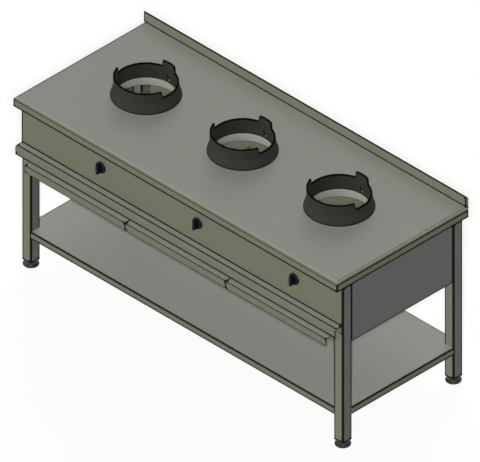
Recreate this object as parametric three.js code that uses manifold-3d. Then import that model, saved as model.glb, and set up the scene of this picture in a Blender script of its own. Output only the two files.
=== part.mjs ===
// A free-standing gas wok range with three burners in one row: a stainless table on four square legs,
// a folded worktop with a rear upstand, three lift-off cast iron wok rings, a control panel with three
// push-and-turn gas taps, three pull-out drip trays and a lower shelf.
// Millimetres. X runs left to right, Y front to back, Z up. The origin is on the floor, in the middle.
import * as THREE from 'three';
import { mergeVertices } from 'three/addons/utils/BufferGeometryUtils.js';
import Module from 'manifold-3d';

const wasm = await Module();
wasm.setup();

// Clearances that are used all over the range.
const fitGap = 0.3; // between a piece and the neighbour that it is notched or bored for
const restGap = 0.3; // under a loose piece that rests on its seat
const cutMargin = 5; // how far a cutting shape runs past the face that it cuts

// Worktop: one folded sheet with a fold all round and an upstand along the rear.
const worktopLength = 1800;
const worktopDepth = 730;
const worktopHeight = 820;
const worktopSheet = 2;
const worktopFold = 44;
const worktopBend = 11;
const endBendCut = 1.5; // how deep the pieces under the worktop's end bends are cut back
const upstandHeight = 50;
const upstandThickness = 4;

// Legs: square tubes with a flanged threaded plug in each lower end and a levelling foot in the plug.
const legSize = 50;
const legWall = 2;
const legSideInset = 8;
const legFrontInset = 40;
const legRearInset = 25;
const plugFlange = 2;
const plugLength = 40;
const footHeight = 24;
const footFlangeRadius = 33;
const footFlangeHeight = 9;
const footNeckRadius = 25;
const footStemRadius = 8;
const footStemLength = 36;

// Body panels between the legs.
const panelSheet = 2;
const panelFlange = 20;
const panelRecess = 3;
const sidePanelHeight = 327;
const controlPanelHeight = 272;
const controlPanelReturn = 30;

// Front rail: a folded channel along the foot of the control panel.
const railHeight = 45;
const railSheet = 2;
const railBend = 8;
const railEndInset = 3;

// Drip trays and the runners that they slide on.
const trayCount = 3;
const trayDrop = 23; // tray lips below the control panel
const trayPanDepth = 32;
const traySheet = 2;
const trayLipHeight = 36;
const trayLipGap = 2;
const trayPanInset = 4;
const traySideClearance = 4;
const trayRearClearance = 12;
const runnerSheet = 2;
const runnerLedge = 18;

// Lower shelf.
const shelfTop = 177;
const shelfSheet = 2;
const shelfFold = 32;
const shelfRibHeight = 24;
const shelfRibSheet = 3;

// Wok rings: cast collars that stand in the worktop's openings.
const burnerPitch = 537;
const burnerRowShift = -5; // the row of burners from the middle of the worktop, along X
const burnerBack = 380; // burner centres from the worktop's front edge
const openingRadius = 131;
const ringBaseRadius = 142.5;
const ringBaseEdge = 4;
const ringCollarRadius = 130;
const ringSkirtHeight = 43;
const ringHeight = 92;
const ringWall = 7;
const ringSpigotGap = 1.5;
const ringSpigotDepth = 6;
const ringVentDepth = 28;
const ringVents = [[-16, 71.6], [103.8, 197.6]]; // degrees from +X towards +Y
const ringSlotWidth = 16;
const ringSlotHeight = 35;

// Flame guard under each opening.
const guardDepth = 43;
const guardSheet = 2;
const guardFlange = 17;

// Burner, its mixing tube and the beams that carry it.
const burnerRadius = 65;
const burnerHeight = 46;
const burnerWall = 6;
const burnerDrop = 60; // from the worktop's top face down to the burner's crown
const burnerNeckRadius = 26;
const burnerNeckLength = 14;
const mixerRadius = 24;
const mixerWall = 4;
const mixerFront = 165; // the mixing tube's mouth from the worktop's front edge
const mixerDrop = 160; // the mixing tube's axis below the worktop's top face
const mixerTail = 30;
const mixerSeatSize = 36;
const airPortLength = 28;
const airPortHeight = 16;
const beamWidth = 40;
const beamHeight = 20;
const beamSheet = 2;
const beamFront = 220;
const seatDrop = 30; // beam tops below the mixing tube's axis
const pilotSide = 80;
const pilotPost = 12;
const pilotPostTop = 75; // top of the pilot's post below the worktop's top face
const pilotTipRadius = 5;
const pilotTipLength = 14;

// Gas taps: valve body, sprung plunger, spindle and knob on one axis along Y.
const tapSide = 98; // tap axis to the right of its burner
const tapDrop = 127; // tap axis below the worktop's top face
const valveLength = 57;
const valveRadius = 15;
const valveFlangeRadius = 19;
const valveFlange = 4;
const valveBoreDepth = 42;
const valveOutletRadius = 8;
const valveOutletDrop = 19;
const valveOutletBack = 32; // outlet's axis behind the panel's rear face
const plungerRadius = 9;
const plungerStart = 6;
const plungerLength = 20;
const plungerTravel = 5;
const spindleRadius = 5;
const spindleFront = 20; // spindle's front end from the worktop's front edge
const spindleBehindPanel = 28;
const spindleCollarRadius = 7.5;
const spindleCollarLength = 1.2;
const knobStandOff = 0.7; // what is left between knob and panel when the knob is pushed in
const knobRadius = 26;
const knobDisc = 8;
const knobDepth = 28;
const knobGripWidth = 13;
const knobGripLength = 47;

// Gas manifold and supply tubes.
const manifoldRadius = 13.5;
const manifoldWall = 2.5;
const manifoldStub = 9;
const manifoldEndInset = 75;
const inletEnd = 5; // the inlet's end from the worktop's rear edge
const inletHoleGap = 1.5;
const supplyRadius = 5;
const supplyBend = 14;

// Roundness.
const coarseSides = 16;
const middleSides = 24;
const fineSides = 36;
const tubeArcSteps = 4;
const bendSteps = 3;

// Places that follow from the sizes above.
const leftEdge = -worktopLength / 2;
const rightEdge = worktopLength / 2;
const frontEdge = -worktopDepth / 2;
const rearEdge = worktopDepth / 2;
const underTop = worktopHeight - worktopSheet;
const legLeft = leftEdge + legSideInset;
const legRight = rightEdge - legSideInset;
const legFront = frontEdge + legFrontInset;
const legRear = rearEdge - legRearInset;
const legInnerLeft = legLeft + legSize;
const legInnerRight = legRight - legSize;
const legBottom = footHeight + plugFlange;
const panelFront = legFront - panelSheet;
const panelBottom = underTop - sidePanelHeight;
const controlPanelBottom = underTop - controlPanelHeight;
const railTop = controlPanelBottom + railHeight;
const rearPanelFront = legRear - panelRecess - panelSheet;
const burnerY = frontEdge + burnerBack;
const mixerZ = worktopHeight - mixerDrop;
const tapZ = worktopHeight - tapDrop;
const beamTop = mixerZ - seatDrop;
const guardRadius = openingRadius + guardSheet;
const ringBore = ringCollarRadius - ringWall;
const valveRear = legFront + valveLength;
const manifoldY = valveRear + manifoldStub + manifoldRadius;
const trayTop = controlPanelBottom - trayDrop;
const trayBottom = trayTop - trayPanDepth;
const ledgeTop = trayBottom - restGap;
const places = ['left', 'centre', 'right'];
const burnerXs = places.map((place, index) => burnerRowShift + (index - 1) * burnerPitch);

// Finishes, as the drawing shows them.
const finishes = {
  worktopSteel: { color: 0x85867f, roughness: 0.42, metalness: 0.8 },
  panelSteel: { color: 0x7b7c72, roughness: 0.45, metalness: 0.8 },
  tubeSteel: { color: 0x7f8077, roughness: 0.4, metalness: 0.8 },
  castIron: { color: 0x38362f, roughness: 0.85, metalness: 0.35 },
  burnerIron: { color: 0x46433e, roughness: 0.8, metalness: 0.4 },
  brass: { color: 0xb08d4a, roughness: 0.35, metalness: 0.9 },
  pipeSteel: { color: 0x8b8d8c, roughness: 0.5, metalness: 0.8 },
  springSteel: { color: 0x9a9c9c, roughness: 0.3, metalness: 0.9 },
  blackPlastic: { color: 0x14151a, roughness: 0.4, metalness: 0 },
  footPlastic: { color: 0x1b1b1a, roughness: 0.6, metalness: 0 },
};

// ---------------------------------------------------------------- solids

// Six times the volume inside a closed triangle mesh, negative when its faces point in.
function signedVolume(positions, triangles) {
  const [a, b, c] = [new THREE.Vector3(), new THREE.Vector3(), new THREE.Vector3()];
  let total = 0;
  for (let i = 0; i < triangles.length; i += 3) {
    a.fromArray(positions, 3 * triangles[i]);
    b.fromArray(positions, 3 * triangles[i + 1]);
    c.fromArray(positions, 3 * triangles[i + 2]);
    total += a.dot(b.cross(c));
  }
  return total;
}

// A closed geometry as a solid, with doubled vertices merged and flat triangles left out.
function solidOf(geometry) {
  const bare = new THREE.BufferGeometry();
  bare.setAttribute('position', geometry.getAttribute('position'));
  bare.setIndex(geometry.index);
  const merged = mergeVertices(bare, 1e-4);
  const positions = Float32Array.from(merged.getAttribute('position').array);
  const triangles = [];
  for (let i = 0; i < merged.index.count; i += 3) {
    const corner = [merged.index.getX(i), merged.index.getX(i + 1), merged.index.getX(i + 2)];
    if (new Set(corner).size === 3) triangles.push(...corner);
  }
  if (signedVolume(positions, triangles) < 0) triangles.reverse();
  const mesh = { numProp: 3, vertProperties: positions, triVerts: Uint32Array.from(triangles) };
  return new wasm.Manifold(new wasm.Mesh(mesh));
}

function geometryOf(solid) {
  const mesh = solid.getMesh();
  const geometry = new THREE.BufferGeometry();
  geometry.setAttribute('position', new THREE.BufferAttribute(mesh.vertProperties, 3));
  geometry.setIndex(new THREE.BufferAttribute(mesh.triVerts, 1));
  const flat = geometry.toNonIndexed();
  flat.computeVertexNormals();
  return flat;
}

// A block between two values on each axis.
function block([x0, x1], [y0, y1], [z0, z1]) {
  const geometry = new THREE.BoxGeometry(x1 - x0, y1 - y0, z1 - z0);
  return solidOf(geometry.translate((x0 + x1) / 2, (y0 + y1) / 2, (z0 + z1) / 2));
}

// A closed profile of [radius, height] points turned about an upright axis through (x, y), from z.
function turned(profile, sideCount, [x, y, z]) {
  const points = [...profile, profile[0]].map(([radius, height]) => new THREE.Vector2(radius, height));
  const geometry = new THREE.LatheGeometry(points, sideCount);
  return solidOf(geometry.rotateX(Math.PI / 2).translate(x, y, z));
}

// The same, turned about an axis along Y: the profile's heights run from y towards the rear.
function turnedAlongY(profile, sideCount, [x, y, z]) {
  const points = [...profile, profile[0]].map(([radius, height]) => new THREE.Vector2(radius, height));
  return solidOf(new THREE.LatheGeometry(points, sideCount).translate(x, y, z));
}

function rod(radius, length) {
  return [[0, 0], [radius, 0], [radius, length], [0, length]];
}

function sleeve(bore, radius, length) {
  return [[bore, 0], [radius, 0], [radius, length], [bore, length]];
}

// A rod along X from x, for the manifold and its bore.
function rodAlongX(radius, length, [x, y, z]) {
  const geometry = new THREE.CylinderGeometry(radius, radius, length, coarseSides);
  return solidOf(geometry.rotateZ(Math.PI / 2).translate(x + length / 2, y, z));
}

// An outline in the YZ plane drawn out along X.
function extrudedAlongX(shape, x0, x1) {
  const geometry = new THREE.ExtrudeGeometry(shape, {
    depth: x1 - x0, bevelEnabled: false, curveSegments: bendSteps,
  });
  const turn = new THREE.Matrix4().makeBasis(
    new THREE.Vector3(0, 1, 0), new THREE.Vector3(0, 0, 1), new THREE.Vector3(1, 0, 0));
  return solidOf(geometry.applyMatrix4(turn).translate(x0, 0, 0));
}

// An outline in the XZ plane drawn out along Y.
function extrudedAlongY(shape, y0, y1) {
  const geometry = new THREE.ExtrudeGeometry(shape, {
    depth: y1 - y0, bevelEnabled: false, curveSegments: bendSteps,
  });
  return solidOf(geometry.rotateX(Math.PI / 2).translate(0, y1, 0));
}

// A wedge of a ring, between two radii and two angles, drawn out along Z.
function ringWedge(inner, outer, [startDegrees, endDegrees], [x, y], [z0, z1]) {
  const start = THREE.MathUtils.degToRad(startDegrees);
  const end = THREE.MathUtils.degToRad(endDegrees);
  const shape = new THREE.Shape();
  shape.absarc(0, 0, outer, start, end, false);
  shape.absarc(0, 0, inner, end, start, true);
  const geometry = new THREE.ExtrudeGeometry(shape, {
    depth: z1 - z0, bevelEnabled: false, curveSegments: coarseSides,
  });
  return solidOf(geometry.translate(x, y, z0));
}

// ---------------------------------------------------------------- the scene

const range = new THREE.Group();
range.name = 'wok_range';

function addPart(name, solid, finish) {
  const mesh = new THREE.Mesh(geometryOf(solid), new THREE.MeshStandardMaterial(finishes[finish]));
  mesh.name = name;
  range.add(mesh);
}

// ---------------------------------------------------------------- worktop and upstand

// The worktop's front-to-rear outline, inset by one sheet for its hollow. The rear edge is square,
// because the upstand stands on it.
function worktopOutline(inset, bend, bottom) {
  const shape = new THREE.Shape();
  const top = worktopHeight - inset;
  shape.moveTo(frontEdge + inset, bottom);
  shape.lineTo(rearEdge - inset, bottom);
  shape.lineTo(rearEdge - inset, top);
  shape.lineTo(frontEdge + inset + bend, top);
  shape.absarc(frontEdge + inset + bend, top - bend, bend, Math.PI / 2, Math.PI, false);
  shape.closePath();
  return shape;
}

// The worktop's side-to-side outline, bent down at both ends.
function worktopEndOutline(inset, bend, bottom) {
  const shape = new THREE.Shape();
  const top = worktopHeight - inset;
  shape.moveTo(leftEdge + inset, bottom);
  shape.lineTo(rightEdge - inset, bottom);
  shape.absarc(rightEdge - inset - bend, top - bend, bend, 0, Math.PI / 2, false);
  shape.absarc(leftEdge + inset + bend, top - bend, bend, Math.PI / 2, Math.PI, false);
  shape.closePath();
  return shape;
}

function worktopBody(inset, bend, bottom) {
  const long = extrudedAlongX(worktopOutline(inset, bend, bottom), leftEdge + inset, rightEdge - inset);
  const deep = extrudedAlongY(worktopEndOutline(inset, bend, bottom), frontEdge + inset, rearEdge - inset);
  return long.intersect(deep);
}

function worktop() {
  const foldBottom = worktopHeight - worktopFold;
  const hollow = worktopBody(worktopSheet, worktopBend - worktopSheet, foldBottom - cutMargin);
  let solid = worktopBody(0, worktopBend, foldBottom).subtract(hollow);
  for (const x of burnerXs) {
    const place = [x, burnerY, underTop - cutMargin];
    solid = solid.subtract(turned(rod(openingRadius, worktopSheet + 2 * cutMargin), fineSides, place));
  }
  return solid;
}

// A sheet folded flat on itself. It stands on the flat of the worktop and passes over its end bends.
function rearUpstand() {
  return block(
    [leftEdge, rightEdge],
    [rearEdge - upstandThickness, rearEdge],
    [worktopHeight, worktopHeight + upstandHeight]);
}

addPart('worktop', worktop(), 'worktopSteel');
addPart('rear_upstand', rearUpstand(), 'worktopSteel');

// ---------------------------------------------------------------- legs and feet

// What the worktop's bend at the left (-1) or right (1) end takes from a piece that stands under it.
function endBendSpace(side, y) {
  const x = [side * (rightEdge - worktopBend - fitGap), side * rightEdge];
  return block(
    [Math.min(...x), Math.max(...x)],
    [y[0] - cutMargin, y[1] + cutMargin],
    [underTop - endBendCut, underTop + cutMargin]);
}

const legCorners = [
  { name: 'front_left', x: legLeft, y: legFront },
  { name: 'front_right', x: legInnerRight, y: legFront },
  { name: 'rear_left', x: legLeft, y: legRear - legSize },
  { name: 'rear_right', x: legInnerRight, y: legRear - legSize },
];

// A square tube, cut back under the worktop's end bend.
function legTube({ x, y }) {
  const outer = block([x, x + legSize], [y, y + legSize], [legBottom, underTop]);
  const bore = block(
    [x + legWall, x + legSize - legWall],
    [y + legWall, y + legSize - legWall],
    [legBottom - cutMargin, underTop + cutMargin]);
  return outer.subtract(bore).subtract(endBendSpace(Math.sign(x), [y, y + legSize]));
}

// A square plug inside the tube, a flange under it and a bore for the foot's stem.
function legPlug({ x, y }) {
  const side = legWall + fitGap;
  const plug = block(
    [x + side, x + legSize - side], [y + side, y + legSize - side], [footHeight, legBottom + plugLength]);
  const flange = block([x, x + legSize], [y, y + legSize], [footHeight, legBottom]);
  const centre = [x + legSize / 2, y + legSize / 2, footHeight - cutMargin];
  const bore = turned(
    rod(footStemRadius + fitGap, plugFlange + plugLength + 2 * cutMargin), coarseSides, centre);
  return plug.add(flange).subtract(bore);
}

// A round foot with a wide flange on the floor, a neck and a stem that screws into the plug.
function levellingFoot({ x, y }) {
  const shoulder = footHeight - restGap;
  const edge = 1.5;
  return turned([
    [0, 0],
    [footFlangeRadius, 0],
    [footFlangeRadius, footFlangeHeight - edge],
    [footFlangeRadius - edge, footFlangeHeight],
    [footNeckRadius, footFlangeHeight + edge],
    [footNeckRadius, shoulder],
    [footStemRadius, shoulder],
    [footStemRadius, shoulder + footStemLength],
    [0, shoulder + footStemLength],
  ], middleSides, [x + legSize / 2, y + legSize / 2, 0]);
}

for (const corner of legCorners) {
  addPart(`leg_${corner.name}`, legTube(corner), 'tubeSteel');
  addPart(`leg_plug_${corner.name}`, legPlug(corner), 'footPlastic');
  addPart(`foot_${corner.name}`, levellingFoot(corner), 'footPlastic');
}

// ---------------------------------------------------------------- body panels

// The sheet covers both front legs. Its top and bottom returns run between them.
function controlPanel() {
  const returns = [legInnerLeft + fitGap, legInnerRight - fitGap];
  let solid = block([legLeft, legRight], [panelFront, legFront], [controlPanelBottom, underTop]);
  for (const side of [-1, 1]) solid = solid.subtract(endBendSpace(side, [panelFront, legFront]));
  const topReturn = block(returns, [panelFront, legFront + panelFlange], [underTop - panelSheet, underTop]);
  const bottomReturn = block(
    returns,
    [panelFront, legFront + controlPanelReturn],
    [controlPanelBottom, controlPanelBottom + panelSheet]);
  solid = solid.add(topReturn).add(bottomReturn);
  for (const x of burnerXs) {
    const place = [x + tapSide, panelFront - cutMargin, tapZ];
    const hole = turnedAlongY(rod(plungerRadius, panelSheet + 2 * cutMargin), coarseSides, place);
    solid = solid.subtract(hole);
  }
  return solid;
}

// A channel with its open side against the control panel, bent at its two front corners.
function railOutline() {
  const shape = new THREE.Shape();
  const inner = railBend - railSheet;
  const bottom = controlPanelBottom;
  shape.moveTo(panelFront, bottom);
  shape.lineTo(panelFront, bottom + railSheet);
  shape.lineTo(frontEdge + railBend, bottom + railSheet);
  shape.absarc(frontEdge + railBend, bottom + railBend, inner, -Math.PI / 2, -Math.PI, true);
  shape.absarc(frontEdge + railBend, railTop - railBend, inner, Math.PI, Math.PI / 2, true);
  shape.lineTo(panelFront, railTop - railSheet);
  shape.lineTo(panelFront, railTop);
  shape.lineTo(frontEdge + railBend, railTop);
  shape.absarc(frontEdge + railBend, railTop - railBend, railBend, Math.PI / 2, Math.PI, false);
  shape.absarc(frontEdge + railBend, bottom + railBend, railBend, Math.PI, 1.5 * Math.PI, false);
  shape.closePath();
  return shape;
}

// A pan between a front and a rear leg, open towards the inside of the range.
function sidePanel(side) {
  const outer = side * (legRight - panelRecess);
  const y = [legFront + legSize, legRear - legSize];
  const across = (from, to) => [Math.min(side * from, side * to), Math.max(side * from, side * to)];
  const face = Math.abs(outer);
  const pan = block(across(face - panelFlange, face), y, [panelBottom, underTop]);
  const hollow = block(
    across(face - panelFlange - cutMargin, face - panelSheet),
    [y[0] + panelSheet, y[1] - panelSheet],
    [panelBottom + panelSheet, underTop - panelSheet]);
  return pan.subtract(hollow);
}

// The rear sheet between the rear legs, with a top return and a hole for the gas inlet.
function backPanel(inletX) {
  const x = [legInnerLeft, legInnerRight];
  const rear = rearPanelFront + panelSheet;
  const sheet = block(x, [rearPanelFront, rear], [panelBottom, underTop]);
  const topReturn = block(x, [rear - panelFlange, rear], [underTop - panelSheet, underTop]);
  const hole = turnedAlongY(
    rod(manifoldRadius + inletHoleGap, panelSheet + 2 * cutMargin),
    coarseSides,
    [inletX, rearPanelFront - cutMargin, tapZ]);
  return sheet.add(topReturn).subtract(hole);
}

const manifoldLeft = legLeft + manifoldEndInset;
const manifoldRight = legRight - manifoldEndInset;

addPart('control_panel', controlPanel(), 'panelSteel');
addPart('front_rail', extrudedAlongX(railOutline(), legLeft + railEndInset, legRight - railEndInset),
  'panelSteel');
addPart('side_panel_left', sidePanel(-1), 'panelSteel');
addPart('side_panel_right', sidePanel(1), 'panelSteel');
addPart('back_panel', backPanel(manifoldLeft), 'panelSteel');

// ---------------------------------------------------------------- lower shelf

// A sheet folded down all round, notched for the legs, with a rib under its middle.
function lowerShelf() {
  const x = [legLeft, legRight];
  const y = [legFront, legRear];
  const bottom = shelfTop - shelfFold;
  let solid = block(x, y, [bottom, shelfTop]).subtract(block(
    [x[0] + shelfSheet, x[1] - shelfSheet],
    [y[0] + shelfSheet, y[1] - shelfSheet],
    [bottom - cutMargin, shelfTop - shelfSheet]));
  const middle = (legFront + legRear) / 2;
  const ribTop = shelfTop - shelfSheet;
  solid = solid.add(block(
    [legInnerLeft, legInnerRight],
    [middle - shelfRibSheet / 2, middle + shelfRibSheet / 2],
    [ribTop - shelfRibHeight, ribTop + shelfSheet / 2]));
  for (const corner of legCorners) {
    const notch = block(
      [corner.x - fitGap, corner.x + legSize + fitGap],
      [corner.y - fitGap, corner.y + legSize + fitGap],
      [bottom - cutMargin, shelfTop + cutMargin]);
    solid = solid.subtract(notch);
  }
  return solid;
}

addPart('under_shelf', lowerShelf(), 'worktopSteel');

// ---------------------------------------------------------------- drip trays and runners

const traysLeft = legInnerLeft + traySideClearance;
const traysRight = legInnerRight - traySideClearance;
const lipWidth = (traysRight - traysLeft - (trayCount - 1) * trayLipGap) / trayCount;
const trayLefts = places.map((place, index) => traysLeft + index * (lipWidth + trayLipGap));
const panRear = rearPanelFront - trayRearClearance;

// An open pan with a lip that runs forwards under the rail and turns down as a pull.
function dripTray(left) {
  const pan = [left + trayPanInset, left + lipWidth - trayPanInset];
  const outer = block(pan, [legFront, panRear], [trayBottom, trayTop]);
  const hollow = block(
    [pan[0] + traySheet, pan[1] - traySheet],
    [legFront + traySheet, panRear - traySheet],
    [trayBottom + traySheet, trayTop + cutMargin]);
  const lip = [left, left + lipWidth];
  const lipTop = block(lip, [frontEdge, legFront + traySheet], [trayTop - traySheet, trayTop]);
  const lipFront = block(lip, [frontEdge, frontEdge + traySheet], [trayTop - trayLipHeight, trayTop]);
  return outer.subtract(hollow).add(lipTop).add(lipFront);
}

// A rail from the trays' lips to the rear panel: an upright web with a ledge on one or both sides.
function trayRunner(webLeft, ledgeLeft, ledgeRight) {
  const y = [legFront + traySheet + fitGap, rearPanelFront];
  const web = block([webLeft, webLeft + runnerSheet], y, [ledgeTop - runnerSheet, controlPanelBottom]);
  return web.add(block([ledgeLeft, ledgeRight], y, [ledgeTop - runnerSheet, ledgeTop]));
}

trayLefts.forEach((left, index) => addPart(`drip_tray_${places[index]}`, dripTray(left), 'worktopSteel'));

addPart('tray_runner_left', trayRunner(legInnerLeft, legInnerLeft, legInnerLeft + runnerLedge),
  'panelSteel');
trayLefts.slice(1).forEach((left, index) => {
  const web = left - trayLipGap / 2 - runnerSheet / 2;
  const ledge = runnerLedge + runnerSheet / 2;
  const name = `tray_runner_centre_${places[2 * index]}`;
  addPart(name, trayRunner(web, web + runnerSheet / 2 - ledge, web + runnerSheet / 2 + ledge), 'panelSteel');
});
addPart(
  'tray_runner_right',
  trayRunner(legInnerRight - runnerSheet, legInnerRight - runnerLedge, legInnerRight),
  'panelSteel');

// ---------------------------------------------------------------- wok rings and flame guards

// A cast ring: a spigot in the opening, a conical skirt and an upright collar whose rim is cut down
// twice for the flue gases, with a slot at the foot of its rear wall.
function wokRing(x) {
  const base = worktopHeight + restGap;
  const spigot = openingRadius - ringSpigotGap;
  const place = [x, burnerY, base];
  let solid = turned([
    [ringBore, -ringSpigotDepth],
    [spigot, -ringSpigotDepth],
    [spigot, 0],
    [ringBaseRadius, 0],
    [ringBaseRadius, ringBaseEdge],
    [ringCollarRadius, ringSkirtHeight],
    [ringCollarRadius, ringHeight],
    [ringBore, ringHeight],
  ], fineSides, place);
  for (const angles of ringVents) {
    const height = [base + ringHeight - ringVentDepth, base + ringHeight + cutMargin];
    const span = [ringBore - cutMargin, ringCollarRadius + cutMargin];
    solid = solid.subtract(ringWedge(...span, angles, [x, burnerY], height));
  }
  return solid.subtract(block(
    [x - ringSlotWidth / 2, x + ringSlotWidth / 2],
    [burnerY + ringBore - cutMargin, burnerY + ringBaseRadius + cutMargin],
    [base, base + ringSlotHeight]));
}

// A sleeve that hangs from the worktop's underside by its flange.
function flameGuard(x) {
  return turned([
    [openingRadius, 0],
    [openingRadius, -guardDepth],
    [guardRadius, -guardDepth],
    [guardRadius, -guardSheet],
    [openingRadius + guardFlange, -guardSheet],
    [openingRadius + guardFlange, 0],
  ], fineSides, [x, burnerY, underTop]);
}

// ---------------------------------------------------------------- burners

// A hollow cast crown with a neck below it.
function burnerHead(x) {
  const crown = worktopHeight - burnerDrop;
  const body = -burnerHeight;
  const neck = body - burnerNeckLength;
  const chamfer = burnerWall;
  return turned([
    [0, -burnerWall],
    [burnerRadius - 2 * burnerWall, -burnerWall],
    [burnerRadius - burnerWall, -2 * burnerWall],
    [burnerRadius - burnerWall, body + 2 * burnerWall],
    [burnerNeckRadius - burnerWall, body + burnerWall],
    [burnerNeckRadius - burnerWall, neck],
    [burnerNeckRadius, neck],
    [burnerNeckRadius, body],
    [burnerRadius - chamfer, body],
    [burnerRadius, body + chamfer],
    [burnerRadius, -chamfer],
    [burnerRadius - chamfer, 0],
    [0, 0],
  ], middleSides, [x, burnerY, crown]);
}

// A cast tube from the injector to the burner's neck, with two seats on the beams, an air port on
// each side of its mouth and a bore in its end plate for the supply tube.
function mixingTube(x) {
  const mouth = frontEdge + mixerFront;
  const rear = burnerY + mixerTail;
  const neckTop = worktopHeight - burnerDrop - burnerHeight - burnerNeckLength;
  const bore = mixerRadius - mixerWall;
  const tube = turnedAlongY(rod(mixerRadius, rear - mouth), coarseSides, [x, mouth, mixerZ]);
  const riser = turned(rod(burnerNeckRadius, neckTop - mixerZ), coarseSides, [x, burnerY, mixerZ]);
  const seats = [frontEdge + beamFront, burnerY].map((y) => block(
    [x - mixerSeatSize / 2, x + mixerSeatSize / 2],
    [y - mixerSeatSize / 2, y + mixerSeatSize / 2],
    [beamTop, mixerZ]));
  const gasWay = turnedAlongY(
    rod(bore, rear - mouth - 2 * mixerWall), coarseSides, [x, mouth + mixerWall, mixerZ]);
  const upWay = turned(
    rod(burnerNeckRadius - burnerWall, neckTop - mixerZ + cutMargin), coarseSides, [x, burnerY, mixerZ]);
  const injectorBore = turnedAlongY(
    rod(supplyRadius + fitGap, mixerWall + 2 * cutMargin), coarseSides, [x, mouth - cutMargin, mixerZ]);
  const portStart = mouth + 2 * mixerWall;
  const airPorts = block(
    [x - mixerRadius - cutMargin, x + mixerRadius + cutMargin],
    [portStart, portStart + airPortLength],
    [mixerZ - airPortHeight / 2, mixerZ + airPortHeight / 2]);
  let solid = tube.add(riser);
  for (const seat of seats) solid = solid.add(seat);
  return solid.subtract(gasWay).subtract(upWay).subtract(injectorBore).subtract(airPorts);
}

// A post on the rear beam beside the burner, with a round tip at its top.
function pilotBurner(x) {
  const postX = x - pilotSide;
  const top = worktopHeight - pilotPostTop;
  const half = pilotPost / 2;
  const post = block([postX - half, postX + half], [burnerY - half, burnerY + half], [beamTop, top]);
  return post.add(turned(
    rod(pilotTipRadius, pilotTipLength + half), coarseSides, [postX, burnerY, top - half]));
}

// A channel across the range, open underneath, between the two side panels.
function burnerBeam(y) {
  const reach = legRight - panelRecess - panelSheet;
  const width = [y - beamWidth / 2, y + beamWidth / 2];
  const outer = block([-reach, reach], width, [beamTop - beamHeight, beamTop]);
  return outer.subtract(block(
    [-reach - cutMargin, reach + cutMargin],
    [width[0] + beamSheet, width[1] - beamSheet],
    [beamTop - beamHeight - cutMargin, beamTop - beamSheet]));
}

burnerXs.forEach((x, index) => {
  addPart(`wok_ring_${places[index]}`, wokRing(x), 'castIron');
  addPart(`flame_guard_${places[index]}`, flameGuard(x), 'panelSteel');
  addPart(`burner_head_${places[index]}`, burnerHead(x), 'burnerIron');
  addPart(`mixing_tube_${places[index]}`, mixingTube(x), 'burnerIron');
  addPart(`pilot_burner_${places[index]}`, pilotBurner(x), 'brass');
});
addPart('burner_beam_front', burnerBeam(frontEdge + beamFront), 'panelSteel');
addPart('burner_beam_rear', burnerBeam(burnerY), 'panelSteel');

// ---------------------------------------------------------------- gas taps

// The valve body against the panel's rear face: a flanged barrel with a blind bore and an outlet below.
function gasValve(x) {
  const front = legFront;
  const barrel = turnedAlongY(rod(valveRadius, valveLength), coarseSides, [x, front, tapZ]);
  const flange = turnedAlongY(rod(valveFlangeRadius, valveFlange), coarseSides, [x, front, tapZ]);
  const outletY = front + valveOutletBack;
  const outlet = turned(
    rod(valveOutletRadius, valveOutletDrop), coarseSides, [x, outletY, tapZ - valveOutletDrop]);
  const bore = turnedAlongY(
    rod(plungerRadius + fitGap, valveBoreDepth - valveFlange),
    coarseSides,
    [x, front + valveFlange, tapZ]);
  const way = turnedAlongY(
    rod(spindleRadius + fitGap, valveFlange + 2 * cutMargin), coarseSides, [x, front - cutMargin, tapZ]);
  return barrel.add(flange).add(outlet).subtract(bore).subtract(way);
}

// The sleeve that the knob pushes in against its spring to open the flame safety valve.
function valvePlunger(x) {
  return turnedAlongY(
    sleeve(spindleRadius + fitGap, plungerRadius, plungerLength),
    coarseSides,
    [x, legFront + plungerStart, tapZ]);
}

// A rod through plunger and panel, with a collar that bears on the plunger.
function valveSpindle(x) {
  const front = frontEdge + spindleFront;
  const length = legFront + spindleBehindPanel - front;
  const collarEnd = legFront + plungerStart - fitGap - front;
  return turnedAlongY([
    [0, 0],
    [spindleRadius, 0],
    [spindleRadius, collarEnd - spindleCollarLength],
    [spindleCollarRadius, collarEnd - spindleCollarLength],
    [spindleCollarRadius, collarEnd],
    [spindleRadius, collarEnd],
    [spindleRadius, length],
    [0, length],
  ], coarseSides, [x, front, tapZ]);
}

// A disc with an upright grip across its front and a blind bore for the spindle.
function tapKnob(x) {
  const rear = panelFront - plungerTravel - knobStandOff;
  const front = rear - knobDepth;
  const edge = 2;
  const disc = turnedAlongY([
    [0, 0],
    [knobRadius - edge, 0],
    [knobRadius, edge],
    [knobRadius, knobDisc],
    [0, knobDisc],
  ], middleSides, [x, rear - knobDisc, tapZ]);
  const halfWidth = knobGripWidth / 2;
  const straight = knobGripLength / 2 - halfWidth;
  const grip = new THREE.Shape();
  grip.absarc(x, tapZ + straight, halfWidth, 0, Math.PI, false);
  grip.absarc(x, tapZ - straight, halfWidth, Math.PI, 2 * Math.PI, false);
  grip.closePath();
  const bore = turnedAlongY(
    rod(spindleRadius + fitGap, rear - frontEdge - spindleFront + fitGap + cutMargin),
    coarseSides,
    [x, frontEdge + spindleFront - fitGap, tapZ]);
  return disc.add(extrudedAlongY(grip, front, rear - knobDisc / 2)).subtract(bore);
}

// ---------------------------------------------------------------- gas manifold and supply tubes

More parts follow.
